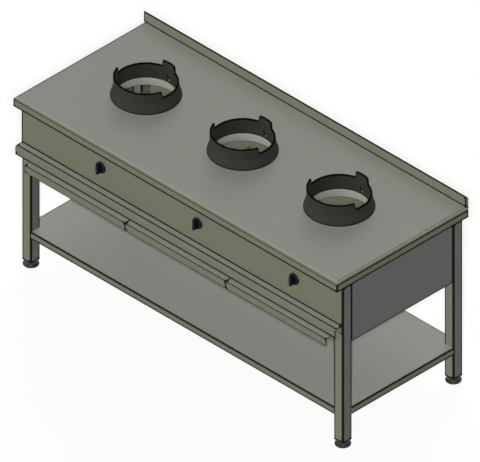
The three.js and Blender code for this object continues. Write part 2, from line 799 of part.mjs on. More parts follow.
// A pipe behind the taps, with a stub to each, that turns to the rear at its left end and leaves
// through the back panel.
function gasManifold() {
  const inletY = rearEdge - inletEnd;
  const bore = manifoldRadius - manifoldWall;
  const along = rodAlongX(manifoldRadius, manifoldRight - manifoldLeft, [manifoldLeft, manifoldY, tapZ]);
  const back = turnedAlongY(
    rod(manifoldRadius, inletY - manifoldY), coarseSides, [manifoldLeft, manifoldY, tapZ]);
  const elbow = solidOf(new THREE.SphereGeometry(manifoldRadius, coarseSides, coarseSides / 2)
    .translate(manifoldLeft, manifoldY, tapZ));
  let solid = along.add(back).add(elbow);
  for (const x of burnerXs) {
    const stub = turnedAlongY(
      rod(plungerRadius, manifoldStub + manifoldRadius), coarseSides, [x + tapSide, valveRear, tapZ]);
    solid = solid.add(stub);
  }
  const alongBore = rodAlongX(
    bore, manifoldRight - manifoldLeft - manifoldWall, [manifoldLeft, manifoldY, tapZ]);
  const backBore = turnedAlongY(
    rod(bore, inletY - manifoldY + cutMargin), coarseSides, [manifoldLeft, manifoldY, tapZ]);
  return solid.subtract(alongBore).subtract(backBore);
}

// A bent tube from the valve's outlet, under the manifold, to the mixing tube's end plate.
function supplyTube(x) {
  const tapX = x + tapSide;
  const startY = legFront + valveOutletBack;
  const startZ = tapZ - valveOutletDrop - fitGap;
  const endY = frontEdge + mixerFront + mixerWall;
  const turnY = frontEdge + mixerFront - 2 * supplyBend;
  const path = new THREE.CatmullRomCurve3([
    new THREE.Vector3(tapX, startY, startZ),
    new THREE.Vector3(tapX, startY, (startZ + mixerZ) / 2),
    new THREE.Vector3(tapX - supplyBend, startY + supplyBend / 2, mixerZ),
    new THREE.Vector3(x + supplyBend, turnY - supplyBend / 2, mixerZ),
    new THREE.Vector3(x, turnY + supplyBend / 2, mixerZ),
    new THREE.Vector3(x, endY - supplyBend, mixerZ),
    new THREE.Vector3(x, endY, mixerZ),
  ]);
  const section = new THREE.Shape().absarc(0, 0, supplyRadius, 0, 2 * Math.PI, false);
  return solidOf(new THREE.ExtrudeGeometry(section, {
    steps: coarseSides, extrudePath: path, curveSegments: tubeArcSteps,
  }));
}

burnerXs.forEach((x, index) => {
  const tapX = x + tapSide;
  addPart(`gas_valve_${places[index]}`, gasValve(tapX), 'brass');
  addPart(`valve_plunger_${places[index]}`, valvePlunger(tapX), 'brass');
  addPart(`valve_spindle_${places[index]}`, valveSpindle(tapX), 'springSteel');
  addPart(`tap_knob_${places[index]}`, tapKnob(tapX), 'blackPlastic');
  addPart(`supply_tube_${places[index]}`, supplyTube(x), 'pipeSteel');
});
addPart('gas_manifold', gasManifold(), 'pipeSteel');

export default range;
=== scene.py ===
"""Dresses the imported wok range: folded stainless sheet, cast iron rings, moulded knobs and feet.

Every piece is a surface worked out with numpy, in metres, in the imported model's own frame:
X to the right, Y to the rear, Z up, with the floor at zero.
"""

import math

import bpy
import numpy as np
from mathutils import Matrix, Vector


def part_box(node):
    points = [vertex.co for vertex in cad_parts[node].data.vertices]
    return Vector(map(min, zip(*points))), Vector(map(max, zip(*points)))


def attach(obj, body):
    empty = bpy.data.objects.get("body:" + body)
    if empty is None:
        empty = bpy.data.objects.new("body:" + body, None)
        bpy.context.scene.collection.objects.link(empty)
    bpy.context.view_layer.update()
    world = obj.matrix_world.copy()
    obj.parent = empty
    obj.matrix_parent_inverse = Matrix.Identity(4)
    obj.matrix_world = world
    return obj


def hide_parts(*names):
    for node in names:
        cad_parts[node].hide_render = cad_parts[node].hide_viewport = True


bl_info = {
    "name": "Wok range",
    "version": (1, 0, 0),
    "blender": (4, 5, 0),
    "location": "View3D > Sidebar > Wok range",
    "description": "Dresses a packed wok range with folded steel, cast iron and moulded pieces",
    "category": "Object",
}

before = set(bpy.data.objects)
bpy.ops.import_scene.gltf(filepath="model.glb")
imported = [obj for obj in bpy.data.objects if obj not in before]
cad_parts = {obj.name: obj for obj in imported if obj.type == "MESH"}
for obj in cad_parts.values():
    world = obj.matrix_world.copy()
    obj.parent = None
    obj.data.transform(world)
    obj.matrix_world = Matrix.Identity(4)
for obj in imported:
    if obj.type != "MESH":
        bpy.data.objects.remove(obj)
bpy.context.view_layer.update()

PLACES = ("left", "centre", "right")
CORNERS = ("front_left", "front_right", "rear_left", "rear_right")
MM = 0.001
TAU = 2 * math.pi
GAP = 0.3 * MM  # between pieces that would otherwise share a face
PIPE_RADIUS = 13.5 * MM  # of the gas manifold
OUTLET = 32 * MM  # from a gas valve's front back to its outlet's axis
SHADE_LINE_DROP = 4 * MM  # from the worktop's lower edge down to the painted shade line under it
TUBE_RISE = 30 * MM  # from the beams' tops up to the mixing tubes' axes


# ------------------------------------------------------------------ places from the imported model


def span(node):
    """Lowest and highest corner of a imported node, as two arrays."""
    low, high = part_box(node)
    return np.array(low), np.array(high)


def middle(node):
    """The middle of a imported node's box."""
    low, high = span(node)
    return (low + high) / 2


def burner_centres():
    """Middle of each worktop opening, in plan."""
    return [middle(f"flame_guard_{place}")[:2] for place in PLACES]


# ------------------------------------------------------------------ what a user can change


def linear(code):
    """A hex sRGB colour as linear red, green and blue: each channel c becomes c / 12.92 up to
    0.04045, and ((c + 0.055) / 1.055) to the power 2.4 above it."""
    parts = np.array([int(code[i : i + 2], 16) for i in (1, 3, 5)]) / 255
    return tuple(np.where(parts <= 0.04045, parts / 12.92, ((parts + 0.055) / 1.055) ** 2.4))


def length(name, description, default):
    """A size in metres."""
    return bpy.props.FloatProperty(
        name=name, description=description, default=default, min=0.0, unit="LENGTH", precision=4
    )


def colour(name, description, code):
    """A colour, given as sRGB hex and kept linear."""
    return bpy.props.FloatVectorProperty(
        name=name, description=description, default=linear(code), subtype="COLOR", min=0.0, max=1.0
    )


class WokRangeSizes(bpy.types.PropertyGroup):
    """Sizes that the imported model's boxes don't give."""

    sheet: length("Sheet", "Thickness of the folded sheets", 2 * MM)
    top_bend: length("Worktop bend", "Outer radius of the worktop's front and side bends", 11 * MM)
    sheet_bend: length("Sheet bend", "Outer radius of every other fold", 3 * MM)
    rail_bend: length("Rail bend", "Outer radius of the front rail's bends", 8 * MM)
    tube_corner: length("Tube corner", "Outer corner ease of the square legs", 4 * MM)
    tube_wall: length("Tube wall", "Wall of the square legs", 2 * MM)
    opening: length("Opening radius", "Radius of the worktop's burner openings", 131 * MM)
    ring_wall: length("Ring wall", "Wall of the wok rings", 7 * MM)
    ring_collar: length("Ring collar", "Outer radius of the wok rings' collars", 130 * MM)
    ring_skirt: length("Ring skirt", "Height of the wok rings' conical skirts", 43 * MM)
    vent_depth: length("Vent depth", "How far the rims are cut down", 28 * MM)
    knob_disc: length("Knob disc", "Thickness of the knobs' discs", 8 * MM)
    knob_grip: length("Knob grip", "Width of the knobs' grips", 13 * MM)
    # The edge line is a dark line painted along folds, joints and rims: a dark joint where pieces meet,
    # painted shade elsewhere.
    line_reach: length("Edge line", "How far the dull line along folds and seams reaches", 13 * MM)


class WokRangeFinishes(bpy.types.PropertyGroup):
    """Colours of the finishes."""

    # The five steels are one brushed stainless painted in tones of light and shade: a lit tone for faces
    # under the light from above, the shelf's tone lighter still as painted light against the shade under
    # the worktop, and darker tones for front faces, legs and sides as painted shade.
    top_steel: colour("Worktop steel", "Brushed stainless of the worktop", "#8f9088")
    shelf_steel: colour("Shelf steel", "Brushed stainless of the lower shelf", "#999a93")
    panel_steel: colour("Panel steel", "Brushed stainless of the panels", "#656556")
    side_steel: colour("Side steel", "Brushed stainless of the side panels", "#5f5f5d")
    tube_steel: colour("Tube steel", "Brushed stainless of the legs", "#6a6a5c")
    ring_iron: colour("Ring iron", "Seasoned cast iron of the wok rings", "#292723")
    burner_iron: colour("Burner iron", "Bare cast iron of the burners", "#46433e")
    brass: colour("Brass", "Turned brass of taps and pilots", "#a98a4c")
    pipe_steel: colour("Pipe steel", "Drawn steel of the gas pipes", "#8b8d8c")
    knob_plastic: colour("Knob plastic", "Moulded knobs", "#07080d")
    foot_plastic: colour("Foot plastic", "Moulded feet and plugs", "#1b1b1b")
    floor: colour("Floor", "Pale studio floor", "#f4f4f2")


def sizes():
    """The sizes as the user has set them."""
    return bpy.context.scene.wok_range_sizes


# ------------------------------------------------------------------ surfaces


def grid_quads(rows, cols, wrap_rows=False, wrap_cols=False):
    """Quads between neighbours of a rows by cols grid; a wrapped side joins its last line to its first."""
    r = np.arange(rows if wrap_rows else rows - 1)[:, None]
    c = np.arange(cols if wrap_cols else cols - 1)[None, :]
    r2, c2 = (r + 1) % rows, (c + 1) % cols
    corners = np.broadcast_arrays(r * cols + c, r2 * cols + c, r2 * cols + c2, r * cols + c2)
    return np.stack(corners, axis=-1).reshape(-1, 4)


def outward(points, quads):
    """The quads, turned round if the volume that they enclose about their middle is negative."""
    local = points - points.mean(axis=0)
    triangles = np.concatenate([quads[:, [0, 1, 2]], quads[:, [0, 2, 3]]])
    a, b, c = local[triangles].transpose(1, 0, 2)
    return quads if np.einsum("ij,ij->", a, np.cross(b, c)) > 0 else quads[:, ::-1]


def merge_map(points):
    """For points that share a cell of a hundredth of a millimetre: which come first, and a map to them."""
    cell, shift = 1e-5, 0.37  # the shift keeps round sizes off the cells' borders
    cells = np.floor(points / cell + shift).astype(np.int64)
    _, first, back = np.unique(cells, axis=0, return_index=True, return_inverse=True)
    return first, back.reshape(-1)


def thickened(outer, inner, quads):
    """A sheet as a closed shell: both skins share their quads, and each edge used once gets a wall."""
    first, back = merge_map(outer)
    outer, inner, quads = outer[first], inner[first], back[quads]
    count = len(outer)
    edges = np.stack([quads, np.roll(quads, -1, axis=1)], axis=-1).reshape(-1, 2)
    edges = edges[edges[:, 0] != edges[:, 1]]
    low, high = edges.min(axis=1), edges.max(axis=1)
    _, index, uses = np.unique(low * count + high, return_index=True, return_counts=True)
    rim = edges[index[uses == 1]]
    walls = np.stack([rim[:, 1], rim[:, 0], rim[:, 0] + count, rim[:, 1] + count], axis=1)
    points = np.concatenate([outer, inner])
    return points, outward(points, np.concatenate([quads, quads[:, ::-1] + count, walls]))


def eased(corners, ease, steps=5, closed=True):
    """A polygon with each corner P eased: S and E lie the ease away from P along its two sides, and
    the corner becomes (1-t)^2 S + 2t(1-t) P + t^2 E. The ends of an open line stay as they are."""
    corners = np.asarray(corners, float)
    ease = np.broadcast_to(np.asarray(ease, float), len(corners)).copy()
    before = np.roll(corners, 1, axis=0) - corners
    after = np.roll(corners, -1, axis=0) - corners
    if not closed:
        ease[[0, -1]] = 0
    before /= np.linalg.norm(before, axis=1, keepdims=True) + 1e-12
    after /= np.linalg.norm(after, axis=1, keepdims=True) + 1e-12
    start, end = corners + before * ease[:, None], corners + after * ease[:, None]
    t = np.linspace(0, 1, steps)[None, :, None]
    curve = (1 - t) ** 2 * start[:, None] + 2 * t * (1 - t) * corners[:, None] + t**2 * end[:, None]
    flat = curve.reshape(-1, 2)
    keep = np.linalg.norm(flat - np.roll(flat, 1, axis=0), axis=1) > 1e-7
    keep[0] = True
    return flat[keep]


def banded(line, closed=False):
    """The line with a point added at the edge line's reach from both ends of each long side, or in
    the middle of a short one, so that an edge line fades there and not over the whole side."""
    reach = sizes().line_reach
    points = []
    count = len(line) if closed else len(line) - 1
    for start, end in zip(line[:count], np.roll(line, -1, axis=0)[:count]):
        side = np.linalg.norm(end - start)
        points.append(start)
        if side > 2.2 * reach:
            points += [start + (end - start) * reach / side, end - (end - start) * reach / side]
        elif side > reach / 2:
            points.append((start + end) / 2)
    return np.array(points if closed else [*points, line[-1]])


def stations(low, high, marks=()):
    """Places along a straight length: its ends, the edge line's reach inside each, and each mark with
    the reach on both its sides."""
    reach = sizes().line_reach
    places = {low, high, low + reach, high - reach}
    for mark in marks:
        places |= {mark - reach, mark, mark + reach}
    return np.array(sorted(place for place in places if low <= place <= high))


def offset_line(line, distance, closed=False):
    """A plane line moved to its left by the distance: each point goes along the mean normal of its
    two sides, divided by the cosine of half the turn, so that the wall keeps its thickness."""

    def left(way):
        """Each direction turned a quarter to its left: (x, y) becomes (-y, x)."""
        return np.stack([-way[:, 1], way[:, 0]], axis=1)

    ahead = np.roll(line, -1, axis=0) - line
    behind = line - np.roll(line, 1, axis=0)
    if not closed:
        ahead[-1], behind[0] = behind[-1], ahead[0]
    ahead /= np.linalg.norm(ahead, axis=1, keepdims=True)
    behind /= np.linalg.norm(behind, axis=1, keepdims=True)
    mean = left(ahead) + left(behind)
    mean /= np.linalg.norm(mean, axis=1, keepdims=True)
    half = np.clip(np.einsum("ij,ij->i", mean, left(ahead)), 0.3, 1)
    return line + mean * (distance / half)[:, None]


def placed(a, b, c, origin, axes):
    """Points at origin + a A + b B + c C, for the three axes named by letters such as 'xyz' or 'yzX'.
    A capital letter is that axis turned round."""
    basis = np.stack([np.eye(3)["xyz".index(k.lower())] * (-1 if k.isupper() else 1) for k in axes])
    return np.asarray(origin) + np.stack([a, b, c], axis=-1).reshape(-1, 3) @ basis


def across(low, high, depths, bends, marks, inset, shared):
    """Stations across a folded sheet: up one wall, round its bend, over the face, round the other
    bend and down. A bend's point at angle t lies at radius (cos t, sin t) about the bend's centre,
    with the radius less the inset. Gives positions, drops below the face and which are on a wall."""
    reach, hair = sizes().line_reach, 0.2 * MM

    def end(edge, inwards, depth, bend):
        """One side's places, drops and wall marks, from its wall's lower edge inwards."""
        if depth == 0:
            return [edge, edge + inwards * reach], [-inset, -inset], [0, 0]
        steps = np.linspace(0, math.pi / 2, 6)
        radius = bend - inset
        half = (depth + shared) / 2
        wall = [-depth, min(-depth + reach, -half - hair), max(-shared - reach, -half + hair)]
        wall += [-shared] if shared - bend > 1e-6 else []
        arc = edge + inwards * (bend - radius * np.cos(steps))
        rise = -bend + radius * np.sin(steps)
        beyond = [edge + inwards * (bend + reach / 2), edge + inwards * (bend + reach)]
        places = [edge + inwards * inset] * len(wall) + list(arc) + beyond
        return places, wall + list(rise) + [-inset] * 2, [1] * (len(wall) + 1) + [0] * 7

    first = end(low, 1, depths[0], bends[0])
    last = end(high, -1, depths[1], bends[1])
    inner = sorted(m for m in marks if first[0][-1] + 1e-5 < m < last[0][-1] - 1e-5)
    places = np.array(first[0] + inner + last[0][::-1])
    drops = np.array(first[1] + [-inset] * len(inner) + last[1][::-1])
    return places, drops, np.array(first[2] + [0] * len(inner) + last[2][::-1])


def hole_rings(a, b, radius, half, n):
    """Four rings of 4 n points from a circle out to a square of that half side: each point goes
    straight from its place on the circle to its place on the square in three equal steps."""
    k = np.arange(4 * n)
    angle = -0.75 * math.pi + k * TAU / (4 * n)
    side, along, far = k // n, 2 * half * (k % n) / n - half, np.full(4 * n, half)
    s = np.arange(4)[:, None] / 3
    ring_a = a + (1 - s) * radius * np.cos(angle) + s * np.choose(side, [along, far, -along, -far])
    ring_b = b + (1 - s) * radius * np.sin(angle) + s * np.choose(side, [-far, along, far, -along])
    return ring_a.ravel(), ring_b.ravel()


def folded_pan(low, high, depths, bends, sheet, origin, axes, marks=((), ()), holes=(), notches=()):
    """A folded sheet over the rectangle low..high with walls of the given depths on its four sides.
    A point's drop is the lower of its drops along A and along B, which mitres the corners. Each hole
    (a, b, radius, half, n) gets its rings in place of the cells in its square, and the cells inside a
    notch (a0, a1, b0, b1) are left out."""
    shared = max(max(pair) for pair in bends)
    side_marks = [list(marks[0]), list(marks[1])]
    for a, b, _, half, n in holes:
        side_marks[0] += list(np.linspace(a - half, a + half, n + 1))
        side_marks[1] += list(np.linspace(b - half, b + half, n + 1))
    for a0, a1, b0, b1 in notches:
        side_marks[0] += [a0, a1]
        side_marks[1] += [b0, b1]
    side_marks = [sorted(set(np.round(m, 7))) for m in side_marks]
    skins = []
    for inset in (sheet, 0.0):
        pa, da, wa = across(low[0], high[0], depths[0], bends[0], side_marks[0], inset, shared)
        pb, db, wb = across(low[1], high[1], depths[1], bends[1], side_marks[1], inset, shared)
        a, b = np.meshgrid(pa, pb, indexing="ij")
        patches = [(a.ravel(), b.ravel(), np.minimum(da[:, None], db[None, :]).ravel())]
        for hole in holes:
            ring_a, ring_b = hole_rings(*hole)
            patches.append((ring_a, ring_b, np.full(ring_a.size, -inset)))
        skins.append(placed(*[np.concatenate(part) for part in zip(*patches)], origin, axes))
    # From here the places and walls are the outer skin's, which was laid out last.
    inner, outer = skins
    cell_a = np.repeat((pa[1:] + pa[:-1]) / 2, len(pb) - 1)
    cell_b = np.tile((pb[1:] + pb[:-1]) / 2, len(pa) - 1)
    on_a = np.repeat(wa[1:] * wa[:-1], len(pb) - 1)
    on_b = np.tile(wb[1:] * wb[:-1], len(pa) - 1)
    keep = ~((on_a == 1) & (on_b == 1))
    for a, b, _, half, _ in holes:
        keep &= ~((abs(cell_a - a) < half) & (abs(cell_b - b) < half))
    for a0, a1, b0, b1 in notches:
        keep &= ~((cell_a > a0) & (cell_a < a1) & (cell_b > b0) & (cell_b < b1))
    parts, offset = [grid_quads(len(pa), len(pb))[keep]], len(pa) * len(pb)
    for hole in holes:
        parts.append(grid_quads(4, 4 * hole[4], wrap_cols=True) + offset)
        offset += 16 * hole[4]
    return thickened(outer, inner, np.concatenate(parts))


def folded_strip(line, sheet, low, high, axes, closed=False, marks=()):
    """A sheet bent to a plane line and drawn out straight: the line lies in A and B, the length runs
    along C, and the second skin is the line moved to its left by the thickness."""
    line, run = banded(line, closed), stations(low, high, marks)
    skins = []
    for skin in (line, offset_line(line, sheet, closed)):
        a, b = np.repeat(skin[:, 0], len(run)), np.repeat(skin[:, 1], len(run))
        skins.append(placed(a, b, np.tile(run, len(skin)), (0, 0, 0), axes))
    return thickened(skins[0], skins[1], grid_quads(len(line), len(run), wrap_rows=closed))


def turned(section, centre, sides, axes="xyz", closed=True, shape=None):
    """A section of (radius, height) points turned about the axis C through the centre: a point is
    (radius cos t, radius sin t, height). shape may change radius and height by the angle t."""
    section = np.asarray(section, float)
    t = np.arange(sides) * TAU / sides
    radius = np.repeat(section[:, :1], sides, axis=1)
    height = np.repeat(section[:, 1:], sides, axis=1)
    if shape:
        radius, height = shape(radius, height, t[None, :])
    a, b = (radius * np.cos(t)).ravel(), (radius * np.sin(t)).ravel()
    points = placed(a, b, height.ravel(), centre, axes)
    return points, outward(points, grid_quads(len(section), sides, wrap_rows=closed, wrap_cols=True))


def lofted(outlines, heights, origin, axes="xyz"):
    """Closed outlines stacked along C and closed at both ends by a fan about the outline's middle."""
    outlines = np.asarray(outlines, float)
    sides = outlines.shape[1]
    mids = np.repeat(outlines.mean(axis=1, keepdims=True), sides, axis=1)
    rows = np.concatenate([mids[:1], outlines, mids[-1:]])
    c = np.repeat(np.concatenate([[heights[0]], heights, [heights[-1]]]), sides)
    points = placed(rows[..., 0].ravel(), rows[..., 1].ravel(), c, origin, axes)
    return points, outward(points, grid_quads(len(rows), sides, wrap_cols=True))


def soft_block(low, high, corner, edge, axes="xyz"):
    """A block with eased upright corners and eased rims: its outline is inset by edge (1 - sin t) and
    rises by edge (1 - cos t) towards each end."""
    order = ["xyz".index(k.lower()) for k in axes]
    low, high = np.minimum(low, high)[order], np.maximum(low, high)[order]
    t = np.linspace(0, math.pi / 2, 4)
    inset, rise = edge * (1 - np.sin(t)), edge * (1 - np.cos(t))
    outlines = []
    for step in np.concatenate([inset, inset[::-1]]):
        a0, a1, b0, b1 = low[0] + step, high[0] - step, low[1] + step, high[1] - step
        outlines.append(eased([[a0, b0], [a1, b0], [a1, b1], [a0, b1]], corner))
    return lofted(outlines, np.concatenate([low[2] + rise, high[2] - rise[::-1]]), (0, 0, 0), axes)


def headings(path):
    """The direction of a path at each of its points, from the points on both sides."""
    ahead = np.gradient(path, axis=0)
    return ahead / np.linalg.norm(ahead, axis=1, keepdims=True)


def piped(path, ahead, radii, sides):
    """A tube along a path: at each point a circle stands across the path's direction, on two
    directions square to it. Radii of zero at the ends close it."""
    first = np.cross(ahead, np.array([0.48, 0.6, 0.64]))
    first /= np.linalg.norm(first, axis=1, keepdims=True)
    second = np.cross(ahead, first)
    t = np.arange(sides) * TAU / sides
    circle = first[:, None] * np.cos(t)[None, :, None] + second[:, None] * np.sin(t)[None, :, None]
    points = (path[:, None] + circle * np.asarray(radii)[:, None, None]).reshape(-1, 3)
    return points, outward(points, grid_quads(len(path), sides, wrap_cols=True))


def centripetal(knots, count):
    """A smooth line through the knots: between two of them a cubic whose end slopes come from the
    neighbours, weighted by the square roots of the distances between them."""
    p = np.asarray(knots, float)
    p = np.concatenate([[2 * p[0] - p[1]], p, [2 * p[-1] - p[-2]]])
    gap = np.sqrt(np.linalg.norm(np.diff(p, axis=0), axis=1))[:, None]
    d0, d1, d2 = gap[:-2], gap[1:-1], gap[2:]
    p0, p1, p2, p3 = p[:-3], p[1:-2], p[2:-1], p[3:]
    m1 = ((p1 - p0) / d0 - (p2 - p0) / (d0 + d1) + (p2 - p1) / d1) * d1
    m2 = ((p2 - p1) / d1 - (p3 - p1) / (d1 + d2) + (p3 - p2) / d2) * d1
    t = np.linspace(0, 1, count, endpoint=False)[None, :, None]
    a, b = p1[:, None], p2[:, None]
    curve = (2 * t**3 - 3 * t**2 + 1) * a + (t**3 - 2 * t**2 + t) * m1[:, None]
    curve = curve + (3 * t**2 - 2 * t**3) * b + (t**3 - t**2) * m2[:, None]
    return np.concatenate([curve.reshape(-1, 3), p[-2:-1]])


# ------------------------------------------------------------------ edge lines

# An edge line is (start, end, strength). Along it the finishes paint a dark line: a dark joint where two
# pieces meet, painted shade along folds, bends, rims and lower edges. The strength sets the line's width:
# about 2 mm to each side at 0.7, 6 mm at 1.0.


def box_edges(low, high, strength):
    """The edges of a box that have a length, as edge lines of one strength."""
    (x0, y0, z0), (x1, y1, z1) = low, high
    corners = np.array([[x, y, z] for x in (x0, x1) for y in (y0, y1) for z in (z0, z1)])
    pairs = [(i, i + step) for step in (1, 2, 4) for i in range(8) if not i & step]
    return [(corners[i], corners[j], strength) for i, j in pairs if abs(corners[i] - corners[j]).max() > 0]


def painted_edge_shade(points, lines):
    """How much painted edge shade each point gets: over all the lines, the highest of a line's strength
    times (1 - distance / reach), and zero beyond the reach."""
    if not lines:
        return np.zeros(len(points))
    start = np.array([line[0] for line in lines], float)
    way = np.array([line[1] for line in lines], float) - start
    strength = np.array([line[2] for line in lines])
    share = np.einsum("pld,ld->pl", points[:, None] - start[None], way) / np.einsum("ld,ld->l", way, way)
    nearest = start[None] + np.clip(share, 0, 1)[..., None] * way[None]
    distance = np.linalg.norm(points[:, None] - nearest, axis=2)
    return (strength * np.clip(1 - distance / sizes().line_reach, 0, 1)).max(axis=1)


# ------------------------------------------------------------------ materials

NOISE, RANGE, MIX = "ShaderNodeTexNoise", "ShaderNodeMapRange", "ShaderNodeMix"
BUMP, MATH = "ShaderNodeBump", "ShaderNodeMath"


def add_node(tree, kind, inputs=None, **settings):
    """Adds one node, makes its settings, and fills its inputs or links them to a socket or to the
    first output that another node has in use."""
    made = tree.nodes.new(kind)
    for key, value in settings.items():
        setattr(made, key, value)
    for socket, value in (inputs or {}).items():
        if isinstance(value, bpy.types.Node):
            value = next(output for output in value.outputs if output.enabled)
        if isinstance(value, bpy.types.NodeSocket):
            tree.links.new(value, made.inputs[socket])
        else:
            made.inputs[socket].default_value = value
    return made


def shade(base, factor):
    """The colour times a factor, opaque."""
    return tuple(min(1.0, part * factor) for part in base) + (1.0,)


def new_material(name):
    """A material with an empty node tree, that tree, and the object's own coordinates in it."""
    made = bpy.data.materials.new(name)
    made.use_nodes = True
    made.node_tree.nodes.clear()
    return made, made.node_tree, add_node(made.node_tree, "ShaderNodeTexCoord").outputs["Object"]


def closed_by_shader(made, inputs, gloss=0.5):
    """The material with one principled shader that takes the inputs. The gloss is set on its own
    socket too where the inputs link one, because the export drops a link there."""
    shader = add_node(made.node_tree, "ShaderNodeBsdfPrincipled", inputs)
    shader.inputs["Specular IOR Level"].default_value = gloss
    add_node(made.node_tree, "ShaderNodeOutputMaterial", {0: shader})
    return made


def with_painted_edge_shade(tree, toned, base, dark, gloss):
    """The shader's colour and gloss with the edge lines painted in: near a fold, joint or rim the colour
    goes to a share of the base, a dark joint or painted shade, and the gloss to nothing, a painted loss of
    highlight. The step is sharp, so that it reads as a line."""
    start, full, cover = 0.48, 0.66, 0.97
    near = add_node(tree, "ShaderNodeAttribute", attribute_name="line").outputs["Fac"]
    # dull is how far the dark edge colour covers: a dark joint where pieces meet, painted shade along folds
    # and rims
    dull = add_node(tree, RANGE, {0: near, 1: start, 2: full, 3: 0.0, 4: cover})
    final = add_node(tree, MIX, {0: dull, 6: toned, 7: shade(base, dark)}, data_type="RGBA")
    left = add_node(tree, RANGE, {0: near, 1: start, 2: full, 3: gloss, 4: 0.0})
    return {"Base Color": final, "Specular IOR Level": left}


def brushed_stainless(name, base, grain):
    """Stainless sheet or tube brushed along one axis, satin."""
    # Gives the eye fine long scratches along the brushing, a little cloudiness, and a dark line along
    # folds and joints: a dark joint where pieces meet, painted shade along folds and edges. Real scratches
    # are 0.3 mm wide: they are drawn 5 mm wide to show.
    made, tree, place = new_material(name)
    width, run, cloud = 5 * MM, 260 * MM, 170 * MM
    scale = [run / width] * 3
    scale["xyz".index(grain)] = 1.0
    stretched = add_node(tree, "ShaderNodeMapping", {"Vector": place, "Scale": scale})
    inputs = {"Vector": stretched, "Scale": 1 / run, "Detail": 4.0, "Roughness": 0.65}
    scratches = add_node(tree, NOISE, inputs)
    clouds = add_node(tree, NOISE, {"Vector": place, "Scale": 1 / cloud, "Detail": 2.0})
    streak = add_node(tree, RANGE, {0: scratches, 1: 0.3, 2: 0.7, 3: 0.0, 4: 1.0})
    inputs = {0: streak, 6: shade(base, 0.93), 7: shade(base, 1.07)}
    grainy = add_node(tree, MIX, inputs, data_type="RGBA")
    cloudy = add_node(tree, RANGE, {0: clouds, 1: 0.3, 2: 0.7, 3: 0.0, 4: 0.22})
    toned = add_node(tree, MIX, {0: cloudy, 6: grainy, 7: shade(base, 0.9)}, data_type="RGBA")
    rough = add_node(tree, RANGE, {0: scratches, 1: 0.3, 2: 0.7, 3: 0.62, 4: 0.76})
    bump = add_node(tree, BUMP, {"Height": scratches, "Strength": 0.25, "Distance": 0.2 * MM})
    gloss = 0.15
    inputs = {"Metallic": 0.15, "Roughness": rough, "Normal": bump}
    return closed_by_shader(made, inputs | with_painted_edge_shade(tree, toned, base, 0.06, gloss), gloss)


def sand_cast_iron(name, base, grain_mm, bloom_share):
    """Grey iron cast in sand, seasoned with oil or left bare."""
    # Gives the eye a pebbled skin, darker hollows and a dry brown bloom. Sand grain is 0.5 mm: it is
    # drawn some millimetres wide to show.
    made, tree, place = new_material(name)
    inputs = {"Vector": place, "Scale": 1 / (grain_mm * MM), "Detail": 5.0, "Roughness": 0.7}
    sand = add_node(tree, NOISE, inputs)
    bloom = add_node(tree, NOISE, {"Vector": place, "Scale": 1 / (45 * MM), "Detail": 3.0})
    pebble = add_node(tree, RANGE, {0: sand, 1: 0.32, 2: 0.68, 3: 0.0, 4: 1.0})
    inputs = {0: pebble, 6: shade(base, 0.72), 7: shade(base, 1.22)}
    skin = add_node(tree, MIX, inputs, data_type="RGBA")
    patch = add_node(tree, RANGE, {0: bloom, 1: 0.48, 2: 0.72, 3: 0.0, 4: bloom_share})
    brown = shade((base[0] * 1.35, base[1] * 1.05, base[2] * 0.8), 1.0)
    toned = add_node(tree, MIX, {0: patch, 6: skin, 7: brown}, data_type="RGBA")
    rough = add_node(tree, RANGE, {0: sand, 1: 0.3, 2: 0.7, 3: 0.62, 4: 0.86})
    bump = add_node(tree, BUMP, {"Height": sand, "Strength": 0.5, "Distance": 0.6 * MM})
    gloss = 0.2
    inputs = {"Metallic": 0.2, "Roughness": rough, "Normal": bump}
    # Where a casting has edge lines, they are painted in here: painted shade along its rims.
    return closed_by_shader(made, inputs | with_painted_edge_shade(tree, toned, base, 0.1, gloss), gloss)


def turned_metal(name, base, roughness):
    """Brass or steel turned on a lathe or drawn through a die."""
    # Gives the eye close tool rings and a slightly uneven tarnish. Tool rings are 0.2 mm apart: they
    # are drawn 2 mm apart.
    made, tree, place = new_material(name)
    rings = add_node(tree, NOISE, {"Vector": place, "Scale": 1 / (2 * MM), "Detail": 2.0})
    tarnish = add_node(tree, NOISE, {"Vector": place, "Scale": 1 / (18 * MM), "Detail": 3.0})
    dark = add_node(tree, RANGE, {0: tarnish, 1: 0.35, 2: 0.7, 3: 0.0, 4: 1.0})
    inputs = {0: dark, 6: shade(base, 1.06), 7: shade(base, 0.72)}
    toned = add_node(tree, MIX, inputs, data_type="RGBA")
    inputs = {0: rings, 1: 0.3, 2: 0.7, 3: roughness - 0.06, 4: roughness + 0.1}
    rough = add_node(tree, RANGE, inputs)
    return closed_by_shader(made, {"Metallic": 1.0, "Base Color": toned, "Roughness": rough})


def moulded_plastic(name, base, roughness, texture_mm, gloss):
    """Black nylon or phenolic out of a spark-eroded mould."""
    # Gives the eye a soft sheen over a fine even texture and paler rubbed patches. The mould's grain
    # is 0.3 mm: it is drawn coarser to show.
    made, tree, place = new_material(name)
    inputs = {"Vector": place, "Scale": 1 / (texture_mm * MM), "Detail": 2.0}
    grain = add_node(tree, NOISE, inputs)
    rubbed = add_node(tree, NOISE, {"Vector": place, "Scale": 1 / (22 * MM), "Detail": 3.0})
    worn = add_node(tree, RANGE, {0: rubbed, 1: 0.45, 2: 0.75, 3: 0.0, 4: 1.0})
    inputs = {0: worn, 6: shade(base, 0.9), 7: shade(base, 1.7)}
    toned = add_node(tree, MIX, inputs, data_type="RGBA")
    inputs = {0: rubbed, 1: 0.3, 2: 0.7, 3: roughness + 0.05, 4: roughness - 0.05}
    rough = add_node(tree, RANGE, inputs)
    bump = add_node(tree, BUMP, {"Height": grain, "Strength": 0.2, "Distance": 0.15 * MM})
    inputs = {"Metallic": 0.0, "Base Color": toned, "Roughness": rough, "Normal": bump}
    return closed_by_shader(made, inputs, gloss)


